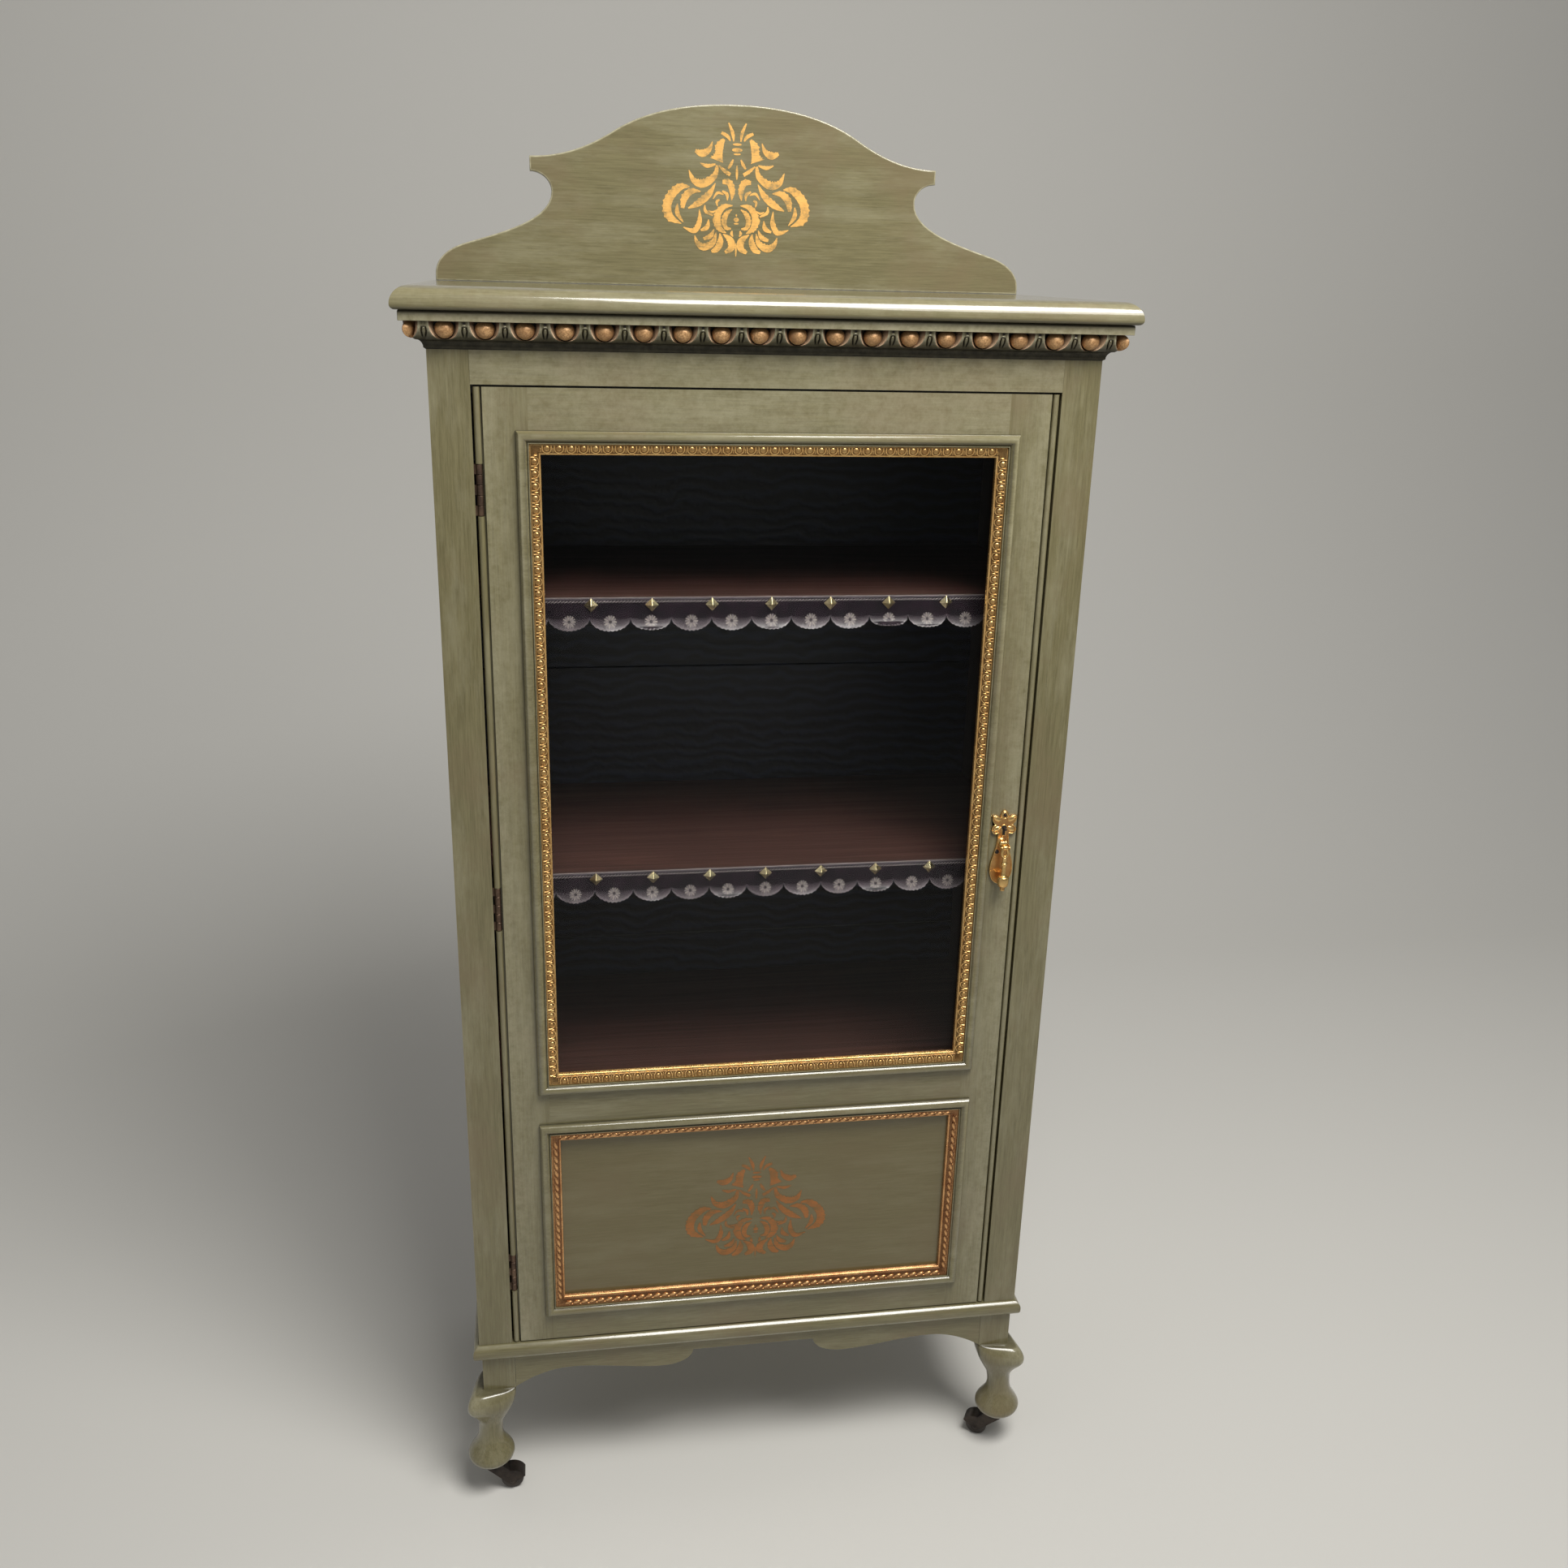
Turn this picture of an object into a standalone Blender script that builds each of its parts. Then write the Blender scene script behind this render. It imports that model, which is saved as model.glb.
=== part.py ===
"""Glazed display cabinet with a hinged door, an upstand, cabriole legs and swivel casters.

Metres, +Z up. The origin is on the floor, in the middle of the cabinet's plan. The front faces -Y
and the door's hinges are on the left, at -X.
"""

import math

import bmesh
import bpy
from mathutils import Matrix, Vector
from mathutils.geometry import interpolate_bezier

MM = 0.001

# Clearances
GAP = 0.3 * MM
OVERRUN = 5 * MM

# Whole cabinet
CARCASS_WIDTH = 650 * MM
CARCASS_DEPTH = 336 * MM
CASTER_HEIGHT = 45.5 * MM
LEG_HEIGHT = 154 * MM
BASE_THICKNESS = 19.5 * MM
CARCASS_HEIGHT = 1155 * MM
TOP_THICKNESS = 21 * MM
TOP_OVERHANG = 28.2 * MM
UPSTAND_HEIGHT = 189.7 * MM

# Carcass
SIDE_THICKNESS = 16 * MM
FACE_STILE_WIDTH = 38.2 * MM
FACE_FRAME_THICKNESS = 20 * MM
FACE_RAIL_HEIGHT = 65.5 * MM
STOP_DEPTH = 12 * MM
STOP_DROP = 9.5 * MM
BACK_THICKNESS = 9 * MM
BACK_REBATE = 8 * MM
BACK_BOARD_WIDTH = 365 * MM
BACK_GROOVE = 1.2 * MM
NOSING_PROJECTION = 7 * MM
NOSING_ROUND = 6.5 * MM
THUMB_WIDTH = 14 * MM
THUMB_HEIGHT = 13 * MM
THUMB_LIP = 4 * MM
THUMB_UNDERCUT = 0.9 * MM
THUMB_STEPS = 5

# Shelves: heights of the top surfaces above the base board
SHELF_THICKNESS = 18 * MM
SHELF_HOUSING = 5 * MM
SHELF_SETBACK = 18 * MM
UPPER_SHELF_HEIGHT = 880 * MM
MIDDLE_SHELF_HEIGHT = 579.5 * MM
LOWER_SHELF_HEIGHT = 310 * MM

# Leather dust edging, nailed to a shelf's front edge with pyramid studs
EDGING_THICKNESS = 1.8 * MM
EDGING_BAND = 20 * MM
SCALLOP_PITCH = 41.4 * MM
SCALLOP_DROP = 14.5 * MM
SCALLOP_STEPS = 6
STUD_PITCH = 61.6 * MM
STUD_DIAGONAL = 14 * MM
STUD_HEIGHT = 4.5 * MM
STUD_DROP = 7.5 * MM
STUD_SINK = 0.8 * MM

# Cornice: the profile's points as shares of its projection and height, from the bottom up
CORNICE_PROJECTION = 22 * MM
CORNICE_HEIGHT = 34.2 * MM
CORNICE_PROFILE_SHARES = (
    (0.10, 0.045), (0.25, 0.18), (0.33, 0.25), (0.405, 0.258), (0.61, 0.355), (0.74, 0.455),
    (0.83, 0.555), (0.873, 0.735), (1.0, 0.735), (1.0, 1.0),
)
EGG_PITCH = 36.2 * MM
EGG_WIDTH = 16.4 * MM
EGG_HEIGHT = 16.4 * MM
EGG_BULGE = 8.1 * MM
EGG_CENTRE_HEIGHT_SHARE = 0.51
EGG_CENTRE_PROJECTION_SHARE = 0.48
EGG_SEGMENTS = 8
EGG_RINGS = 4
CUP_DEPTH = 15.8 * MM
CUP_HEAD_SHARE = 0.726
CUP_BACK_SHARE = 0.34
CORNER_CUP_BACK_SHARE = 0.56
CUP_BACK_RADIUS = 8.8 * MM
CUP_FRONT_RADIUS = 13 * MM
CUP_STEPS = 6
MITRE_RECESS = 0.05 * MM

# Upstand: its right-hand edge from the bottom up, as curves of four control points each; these are
# shares of the half width and of the height
UPSTAND_THICKNESS = 18 * MM
UPSTAND_HALF_WIDTH = 333 * MM
UPSTAND_CURVE_SHARES = (
    ((1.0, 0.032), (1.0, 0.127), (0.95, 0.182), (0.895, 0.211)),
    ((0.895, 0.211), (0.791, 0.267), (0.614, 0.342), (0.614, 0.503)),
    ((0.614, 0.503), (0.614, 0.561), (0.645, 0.608), (0.683, 0.608)),
    ((0.683, 0.688), (0.571, 0.688), (0.481, 0.757), (0.403, 0.842)),
    ((0.403, 0.842), (0.327, 0.921), (0.206, 1.0), (0.0, 1.0)),
)
UPSTAND_STEPS = 7

# Legs: section heights, outward shifts and half widths as shares of the sizes, the squareness, and how
# far the outer corner is drawn out, as a share of its distance
BLOCK_WIDTH = 37.5 * MM
BLOCK_INSET = 2.5 * MM
FOOT_WIDTH = 54.8 * MM
FOOT_SHIFT = 13.4 * MM
REAR_LEG_CLEARANCE = 2 * MM
LEG_SECTION_SHARES = (
    (0.0, 1.0, 0.55, 2.0, 0.0), (0.02, 1.0, 0.80, 2.0, 0.0), (0.052, 1.0, 0.965, 2.0, 0.0),
    (0.09, 1.0, 1.0, 2.0, 0.0), (0.137, 1.0, 0.87, 2.0, 0.0), (0.19, 1.0, 0.685, 2.0, 0.0),
    (0.25, 1.0, 0.55, 2.0, 0.0), (0.32, 0.97, 0.518, 2.0, 0.01), (0.40, 0.87, 0.565, 2.2, 0.07),
    (0.477, 0.66, 0.69, 2.9, 0.30), (0.545, 0.50, 0.80, 3.6, 0.52), (0.60, 0.41, 0.84, 4.2, 0.55),
    (0.645, 0.31, 0.83, 5.0, 0.48), (0.68, 0.17, 0.775, 6.5, 0.36), (0.695, 0.06, 0.715, 9.0, 0.10),
)
LEG_BLOCK_FOOT_SHARE = 0.698
LEG_SEGMENTS = 16
SQUARE_POWER = 80

# Aprons: depths below the base board, and places along the half length as shares
APRON_THICKNESS = 18 * MM
APRON_END_DEPTH = 46 * MM
APRON_ARCH_DEPTH = 24 * MM
APRON_LOBE_DEPTH = 34.5 * MM
APRON_CENTRE_DEPTH = 14.5 * MM
APRON_CENTRE_SHARE = 0.258
APRON_LOBE_SHARE = 0.38
APRON_ARCH_SHARE = 0.77
APRON_STEPS = 6

# Door
DOOR_THICKNESS = 20 * MM
DOOR_SIDE_GAP = 1.8 * MM
DOOR_TOP_GAP = 2 * MM
DOOR_FOOT_GAP = 2 * MM
DOOR_STILE_WIDTH = 50 * MM
DOOR_TOP_RAIL = 51 * MM
DOOR_LOCK_RAIL = 62.5 * MM
DOOR_FOOT_RAIL = 46.5 * MM
PANEL_OPENING_HEIGHT = 233 * MM
BEAD_RADIUS = 3.3 * MM
BEAD_STEPS = 6
QUIRK_WIDTH = 1.5 * MM
QUIRK_DEPTH = 3.6 * MM
TENON_LENGTH = 22 * MM
TENON_THICKNESS = 7 * MM
TENON_SHOULDER = 7 * MM
GLASS_THICKNESS = 3 * MM
GLASS_SETBACK = 6 * MM
PANEL_THICKNESS = 8 * MM
PANEL_TONGUE = 6 * MM
MOULDING_SEAT = 12 * MM
MOULDING_RISE = 8 * MM
MOULDING_PROFILE_SHARES = (
    (1.0, 0.0), (0.95, 0.42), (0.84, 0.78), (0.68, 0.97), (0.48, 1.0), (0.28, 0.86), (0.12, 0.62),
    (0.0, 0.6), (0.0, 0.0),
)
SLIP_WIDTH = 11 * MM
SLIP_RISE = 4.2 * MM
SLIP_PROFILE_SHARES = ((0.0, 0.8), (0.22, 1.0), (0.55, 0.6), (0.86, -0.1), (1.0, -0.25))
BEADING_WIDTH = 8 * MM

# Butt hinges
HINGE_LENGTH = 49 * MM
HINGE_INSET = 95.5 * MM
HINGE_MIDDLE_RISE = 11 * MM
HINGE_LEAF_THICKNESS = 1.2 * MM
HINGE_LEAF_MARGIN = 1.2 * MM
HINGE_KNUCKLES = 5
KNUCKLE_RADIUS = 3 * MM
HINGE_PIN_RADIUS = 1.3 * MM
HINGE_SIDES = 8
KNUCKLE_ROOM = 0.6 * MM

# Handle and lock
HANDLE_FOOT_HEIGHT = 564.4 * MM
HANDLE_PLATE_HEIGHT = 86 * MM
HANDLE_PLATE_THICKNESS = 2.2 * MM
HANDLE_WIDTH_SHARE = 0.94
HANDLE_PIVOT_SHARE = 0.54
HANDLE_PIVOT_REACH = 10.5 * MM
KEYHOLE_SHARE = 0.745
KEYHOLE_RADIUS = 2.7 * MM
KEYHOLE_SLOT_WIDTH = 3.2 * MM
KEYHOLE_SLOT_LENGTH = 8.5 * MM
PLATE_PIN_RADIUS = 1.5 * MM
PLATE_PIN_SHARE = 0.945
PLATE_CURVE_SHARES = (
    ((0.0, 0.0), (0.62, 0.0), (0.92, 0.10), (0.92, 0.215)),
    ((0.92, 0.215), (0.92, 0.36), (0.45, 0.44), (0.45, 0.66)),
    ((0.46, 0.69), (0.70, 0.665), (0.95, 0.70), (1.0, 0.745)),
    ((1.0, 0.745), (0.95, 0.80), (0.72, 0.825), (0.50, 0.80)),
    ((0.50, 0.80), (0.78, 0.80), (0.98, 0.85), (1.0, 0.925)),
    ((1.0, 0.925), (0.80, 0.945), (0.55, 0.94), (0.30, 0.905)),
    ((0.30, 0.905), (0.38, 0.95), (0.25, 1.0), (0.0, 1.0)),
)
PLATE_STEPS = 4
LUG_THICKNESS = 1.8 * MM
LUG_HEIGHT = 5.6 * MM
DROP_PIN_RADIUS = 1.2 * MM
EYE_RADIUS = 3 * MM
EYE_WIDTH = 5 * MM
DROP_LENGTH = 51 * MM
DROP_RADIUS = 5.2 * MM
DROP_PROFILE_SHARES = (
    (0.0, 0.0), (0.46, 0.0), (0.40, 0.12), (0.42, 0.34), (0.66, 0.36), (0.66, 0.41), (0.42, 0.43),
    (0.40, 0.56), (0.60, 0.74), (1.0, 0.765), (1.0, 0.87), (0.72, 0.92), (0.30, 0.935),
    (0.36, 0.97), (0.0, 1.0),
)
DROP_SIDES = 10
KEYHOLE_STEPS = 8
LOCK_HEIGHT = 44 * MM
LOCK_THICKNESS = 11 * MM
LOCK_MARGIN = 7.5 * MM
BOLT_THICKNESS = 4 * MM
BOLT_HEIGHT = 10 * MM
BOLT_LENGTH = 19.5 * MM
BOLT_THROW = 8 * MM
KEEPER_HEIGHT = 30 * MM
KEEPER_WIDTH = 13 * MM
KEEPER_THICKNESS = 1.2 * MM

# Casters
CASTER_PLATE_RADIUS = 13.5 * MM
CASTER_PLATE_THICKNESS = 2.5 * MM
PINTLE_RADIUS = 3 * MM
PINTLE_HEAD_RADIUS = 5 * MM
PINTLE_HEAD_HEIGHT = 1.5 * MM
PINTLE_HEAD_TAPER_SHARE = 0.7
CROWN_THICKNESS = 3.5 * MM
CROWN_RADIUS = 9 * MM
CHEEK_THICKNESS = 2 * MM
CHEEK_CLEARANCE = 0.8 * MM
WHEEL_ROOM = 1 * MM
HOOD_THICKNESS = 2.5 * MM
AXLE_BOSS_RADIUS = 5 * MM
AXLE_RADIUS = 2 * MM
WHEEL_RADIUS = 13.5 * MM
WHEEL_WIDTH = 12 * MM
WHEEL_HUB_RADIUS = 6 * MM
WHEEL_ROUND = 2 * MM
WHEEL_SIDES = 16
CASTER_TRAIL = 23.5 * MM
CASTER_HEADINGS = {"front_left": 0, "front_right": 150, "rear_left": 15, "rear_right": 180}
TURNED_SIDES = 12

# Places worked out from the sizes
LEG_TOP_Z = CASTER_HEIGHT + LEG_HEIGHT
BASE_TOP_Z = LEG_TOP_Z + BASE_THICKNESS
TOP_FOOT_Z = BASE_TOP_Z + CARCASS_HEIGHT
TOP_Z = TOP_FOOT_Z + TOP_THICKNESS
FACE_Y = (TOP_OVERHANG - CARCASS_DEPTH) / 2
BACK_Y = FACE_Y + CARCASS_DEPTH
HALF_WIDTH = CARCASS_WIDTH / 2
HALF_OPENING = HALF_WIDTH - FACE_STILE_WIDTH
OPENING_TOP_Z = TOP_FOOT_Z - FACE_RAIL_HEIGHT
SIDE_FRONT_Y = FACE_Y + FACE_FRAME_THICKNESS
HALF_INSIDE = HALF_WIDTH - SIDE_THICKNESS
BACK_FRONT_Y = BACK_Y - BACK_THICKNESS
HALF_DOOR = HALF_OPENING - DOOR_SIDE_GAP
DOOR_FOOT_Z = BASE_TOP_Z + DOOR_FOOT_GAP
DOOR_TOP_Z = OPENING_TOP_Z - DOOR_TOP_GAP
DOOR_BACK_Y = FACE_Y + DOOR_THICKNESS
HALF_SIGHT = HALF_DOOR - DOOR_STILE_WIDTH
PANEL_LOW_Z = DOOR_FOOT_Z + DOOR_FOOT_RAIL
PANEL_HIGH_Z = PANEL_LOW_Z + PANEL_OPENING_HEIGHT
GLASS_LOW_Z = PANEL_HIGH_Z + DOOR_LOCK_RAIL
GLASS_HIGH_Z = DOOR_TOP_Z - DOOR_TOP_RAIL
SHELF_FRONT_Y = DOOR_BACK_Y + SHELF_SETBACK
HINGE_X = -HALF_DOOR + BEAD_RADIUS
HINGE_Y = FACE_Y + BEAD_RADIUS
HANDLE_X = (HALF_SIGHT + MOULDING_SEAT + HALF_DOOR - 2 * BEAD_RADIUS - QUIRK_WIDTH) / 2
HANDLE_FOOT_Z = BASE_TOP_Z + HANDLE_FOOT_HEIGHT
HANDLE_FRONT_Y = FACE_Y - GAP - HANDLE_PLATE_THICKNESS
HANDLE_HALF_WIDTH = (
    HANDLE_WIDTH_SHARE * (HALF_DOOR - 2 * BEAD_RADIUS - QUIRK_WIDTH - HALF_SIGHT - MOULDING_SEAT) / 2
)
DROP_PIVOT = Vector((
    HANDLE_X, HANDLE_FRONT_Y - HANDLE_PIVOT_REACH,
    HANDLE_FOOT_Z + HANDLE_PIVOT_SHARE * HANDLE_PLATE_HEIGHT,
))
KEYHOLE_Z = HANDLE_FOOT_Z + KEYHOLE_SHARE * HANDLE_PLATE_HEIGHT
LOCK_MIDDLE_Y = DOOR_BACK_Y - GAP - LOCK_THICKNESS / 2
BOLT_END_X = HALF_DOOR - GAP


def clear_scene():
    for obj in list(bpy.data.objects):
        bpy.data.objects.remove(obj, do_unlink=True)


def principled(name, colour, roughness, metallic=0.0, transmission=0.0):
    material = bpy.data.materials.new(name)
    material.use_nodes = True
    shader = material.node_tree.nodes["Principled BSDF"]
    shader.inputs["Base Color"].default_value = (*colour, 1.0)
    shader.inputs["Roughness"].default_value = roughness
    shader.inputs["Metallic"].default_value = metallic
    shader.inputs["Transmission Weight"].default_value = transmission
    return material


def add_object(name, bm, material, smooth=False):
    """Make a mesh object from a bmesh, with its faces pointing out."""
    bmesh.ops.recalc_face_normals(bm, faces=bm.faces)
    mesh = bpy.data.meshes.new(name)
    bm.to_mesh(mesh)
    bm.free()
    mesh.materials.append(material)
    if smooth:
        mesh.shade_smooth()
        mesh.set_sharp_from_angle(angle=math.radians(35))
    obj = bpy.data.objects.new(name, mesh)
    bpy.context.collection.objects.link(obj)
    return obj


def boolean(obj, other, operation):
    """Cut, join or intersect obj with other, which stays in the scene as a guide."""
    other.hide_render = True
    other.display_type = "WIRE"
    modifier = obj.modifiers.new(other.name, "BOOLEAN")
    modifier.operation = operation
    modifier.solver = "EXACT"
    modifier.object = other


def cut(obj, *cutters):
    for cutter in cutters:
        boolean(obj, cutter, "DIFFERENCE")


def join(obj, *others):
    for other in others:
        boolean(obj, other, "UNION")


def baked_mesh(obj):
    """The evaluated mesh of obj, for pieces that share one shape; obj becomes a guide."""
    bpy.context.view_layer.update()
    mesh = bpy.data.meshes.new_from_object(obj.evaluated_get(bpy.context.evaluated_depsgraph_get()))
    mesh.name = obj.name
    obj.hide_render = True
    obj.display_type = "WIRE"
    return mesh


def place(name, mesh, location, turn=0.0):
    """A new object that shares a mesh, turned about Z."""
    obj = bpy.data.objects.new(name, mesh)
    bpy.context.collection.objects.link(obj)
    obj.location = location
    obj.rotation_euler.z = turn
    return obj


def pivot(name, location, parent=None):
    """An empty on a joint's axis, which carries the pieces that move."""
    empty = bpy.data.objects.new(name, None)
    bpy.context.collection.objects.link(empty)
    empty.location = location
    if parent:
        empty.parent = parent
        empty.location = Vector(location) - parent.location
    return empty


def carry(empty, *objects):
    """Parent objects whose places are given in the world to a pivot that isn't turned."""
    origin = Vector((0, 0, 0))
    holder = empty
    while holder:
        origin += holder.location
        holder = holder.parent
    for obj in objects:
        obj.parent = empty
        obj.location = obj.location - origin


def loft(rings, looped=False, bm=None):
    """Skin rings of equal length, with end caps unless the last ring joins the first."""
    bm = bm or bmesh.new()
    loops = [[bm.verts.new(point) for point in ring] for ring in rings]
    pairs = list(zip(loops, loops[1:]))
    if looped:
        pairs.append((loops[-1], loops[0]))
    for first, second in pairs:
        for i in range(len(first)):
            j = (i + 1) % len(first)
            bm.faces.new((first[i], first[j], second[j], second[i]))
    if not looped:
        bm.faces.new(loops[0])
        bm.faces.new(loops[-1])
    return bm


def prism(outline, direction):
    """Extrude a flat outline of 3-D points by a vector."""
    bm = bmesh.new()
    face = bm.faces.new([bm.verts.new(point) for point in outline])
    moved = bmesh.ops.extrude_face_region(bm, geom=[face])["geom"]
    bmesh.ops.translate(bm, vec=direction, verts=[v for v in moved if isinstance(v, bmesh.types.BMVert)])
    return bm


def slab(name, x_range, y_range, z_range, material):
    """A rectangular board between two places on each axis."""
    bm = bmesh.new()
    bmesh.ops.create_cube(bm, size=1)
    ranges = (x_range, y_range, z_range)
    size = Vector([high - low for low, high in ranges])
    middle = Vector([(low + high) / 2 for low, high in ranges])
    bmesh.ops.scale(bm, vec=size, verts=bm.verts)
    bmesh.ops.translate(bm, vec=middle, verts=bm.verts)
    return add_object(name, bm, material)


def turned(profile, centre, axis, sides, closed=False, start=0.0):
    """Spin (radius, distance along axis) points about an axis; a closed profile leaves a bore."""
    bm = bmesh.new()
    axis = Vector(axis).normalized()
    side = Matrix.Rotation(start, 3, axis) @ axis.orthogonal().normalized()
    points = [bm.verts.new(Vector(centre) + axis * along + side * radius) for radius, along in profile]
    chain = list(zip(points, points[1:]))
    if closed:
        chain.append((points[-1], points[0]))
    edges = [bm.edges.new(pair) for pair in chain]
    bmesh.ops.spin(
        bm, geom=points + edges, cent=centre, axis=axis, angle=math.tau, steps=sides, use_merge=True,
    )
    bmesh.ops.remove_doubles(bm, verts=bm.verts, dist=GAP / 100)
    return bm


def turned_object(name, profile, centre, axis, sides, material, closed=False, start=0.0):
    return add_object(name, turned(profile, centre, axis, sides, closed, start), material, smooth=True)


def bezier(controls, steps):
    """Points along a cubic curve in a plane, both ends included."""
    return [(p.x, p.y) for p in interpolate_bezier(*[Vector((u, v, 0)) for u, v in controls], steps + 1)]


def half_outline(curve_shares, width, height, steps):
    """Points along a chain of curves whose controls are shares of a width and a height."""
    points = [point for controls in curve_shares for point in bezier(controls, steps)]
    return without_repeats([(u * width, v * height) for u, v in points])


def arc(centre, radii, start, end, steps):
    """Points on an ellipse from one angle to another, in degrees, both ends included."""
    angles = [math.radians(start + (end - start) * i / steps) for i in range(steps + 1)]
    return [(centre[0] + radii[0] * math.cos(a), centre[1] + radii[1] * math.sin(a)) for a in angles]


def mirrored(half):
    """A whole outline from its right half, listed from the bottom to the top."""
    left = [(-u, v) for u, v in reversed(half) if u > 0]
    return half + left


def without_repeats(points):
    """Drop points that lie on the one before them."""
    kept = [points[0]]
    for point in points[1:]:
        if math.dist(point, kept[-1]) > GAP / 10:
            kept.append(point)
    return kept


def moulded_board(name, profile, half_width, front_y, back_y, material):
    """A board with a moulding on its front and ends; profile points are (inset, height)."""
    rings = [
        [
            (-half_width + inset, front_y + inset, z), (half_width - inset, front_y + inset, z),
            (half_width - inset, back_y, z), (-half_width + inset, back_y, z),
        ]
        for inset, z in profile
    ]
    return add_object(name, loft(rings), material, smooth=True)


def mitred_frame(name, profile, half_width, low_z, high_z, material):
    """Four mitred lengths round an opening; profile points are (inset from its edge, y)."""
    corners = ((-1, 0), (1, 0), (1, 1), (-1, 1))
    rings = [
        [
            (side * (half_width - inset), y, high_z - inset if top else low_z + inset)
            for inset, y in profile
        ]
        for side, top in corners
    ]
    return add_object(name, loft(rings, looped=True), material, smooth=True)


def carcass(paint, dark_wood, raw_wood):
    """Base board, sides, face frame, back and shelves; returns the right face stile."""
    base_profile = [
        (NOSING_ROUND - NOSING_ROUND * math.cos(a), LEG_TOP_Z + BASE_THICKNESS * (1 + math.sin(a)) / 2)
        for a in [math.radians(-80 + 20 * i) for i in range(9)]
    ]
    base_profile = [(NOSING_ROUND, LEG_TOP_Z)] + base_profile[1:-1] + [(NOSING_ROUND, BASE_TOP_Z)]
    moulded_board(
        "base_board", base_profile, HALF_WIDTH + NOSING_PROJECTION, FACE_Y - NOSING_PROJECTION,
        BACK_Y, paint,
    )

    upright = (BASE_TOP_Z + GAP, TOP_FOOT_Z - GAP)
    sides = [
        slab(
            f"side_panel_{word}", sorted((sign * HALF_WIDTH, sign * HALF_INSIDE)),
            (SIDE_FRONT_Y + GAP, BACK_Y), upright, paint,
        )
        for word, sign in (("left", -1), ("right", 1))
    ]
    rebate = slab(
        "back_rebate", (-HALF_INSIDE - BACK_REBATE, HALF_INSIDE + BACK_REBATE),
        (BACK_FRONT_Y - GAP, BACK_Y + OVERRUN), (BASE_TOP_Z - OVERRUN, TOP_FOOT_Z + OVERRUN), raw_wood,
    )
    housing = HALF_INSIDE + SHELF_HOUSING
    for word, height in (
        ("upper", UPPER_SHELF_HEIGHT), ("middle", MIDDLE_SHELF_HEIGHT), ("lower", LOWER_SHELF_HEIGHT),
    ):
        top_z = BASE_TOP_Z + height
        slab(
            f"shelf_{word}", (-housing + GAP, housing - GAP), (SHELF_FRONT_Y, BACK_FRONT_Y - 2 * GAP),
            (top_z - SHELF_THICKNESS, top_z), dark_wood,
        )
        groove = slab(
            f"shelf_{word}_housing", (-housing, housing), (SHELF_FRONT_Y - GAP, BACK_Y),
            (top_z - SHELF_THICKNESS - GAP, top_z + GAP), raw_wood,
        )
        for side in sides:
            cut(side, groove)
    for side in sides:
        cut(side, rebate)

    back_panel(raw_wood, upright)
    return face_frame(paint, upright)


def back_panel(raw_wood, upright):
    """Horizontal back boards, glued into one panel with a V groove at each joint."""
    low, high = upright
    front = [(BACK_FRONT_Y, low)]
    rear = [(BACK_Y, low)]
    for joint in range(1, int((high - low) / BACK_BOARD_WIDTH) + 1):
        z = low + BACK_BOARD_WIDTH * joint
        front += [
            (BACK_FRONT_Y, z - BACK_GROOVE), (BACK_FRONT_Y + BACK_GROOVE, z), (BACK_FRONT_Y, z + BACK_GROOVE),
        ]
        rear += [(BACK_Y, z - BACK_GROOVE), (BACK_Y - BACK_GROOVE, z), (BACK_Y, z + BACK_GROOVE)]
    outline = front + [(BACK_FRONT_Y, high), (BACK_Y, high)] + rear[::-1]
    half = HALF_INSIDE + BACK_REBATE - GAP
    add_object(
        "back_panel", prism([(-half, y, z) for y, z in outline], Vector((2 * half, 0, 0))), raw_wood,
    )


def face_frame(paint, upright):
    """Stiles beside the door and the rebated rail above it, which stops the door."""
    stiles = [
        slab(
            f"face_stile_{word}", sorted((sign * HALF_WIDTH, sign * HALF_OPENING)),
            (FACE_Y, SIDE_FRONT_Y), upright, paint,
        )
        for word, sign in (("left", -1), ("right", 1))
    ]
    stop_y = DOOR_BACK_Y + GAP
    section = [
        (FACE_Y, OPENING_TOP_Z), (stop_y, OPENING_TOP_Z), (stop_y, OPENING_TOP_Z - STOP_DROP),
        (stop_y + STOP_DEPTH, OPENING_TOP_Z - STOP_DROP), (stop_y + STOP_DEPTH, TOP_FOOT_Z - GAP),
        (FACE_Y, TOP_FOOT_Z - GAP),
    ]
    half = HALF_OPENING - GAP
    rail = add_object(
        "face_rail_top", prism([(-half, y, z) for y, z in section], Vector((2 * half, 0, 0))), paint,
    )
    middle_y = FACE_Y + FACE_FRAME_THICKNESS / 2
    tenon_joint(
        rail, stiles, HALF_OPENING, middle_y, (OPENING_TOP_Z + TENON_SHOULDER, TOP_FOOT_Z - TENON_SHOULDER),
        paint,
    )
    return stiles


def tenon_joint(rail, stiles, half_width, middle_y, z_range, material):
    """Give a rail a stub tenon at each end, and the stiles their mortises."""
    reach = half_width + TENON_LENGTH
    half = TENON_THICKNESS / 2
    low, high = z_range
    tenons = slab(
        f"{rail.name}_tenons", (-reach, reach), (middle_y - half, middle_y + half), (low, high), material,
    )
    join(rail, tenons)
    mortises = slab(
        f"{rail.name}_mortises", (-reach - GAP, reach + GAP),
        (middle_y - half - GAP, middle_y + half + GAP), (low - GAP, high + GAP), material,
    )
    for stile in stiles:
        cut(stile, mortises)


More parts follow.
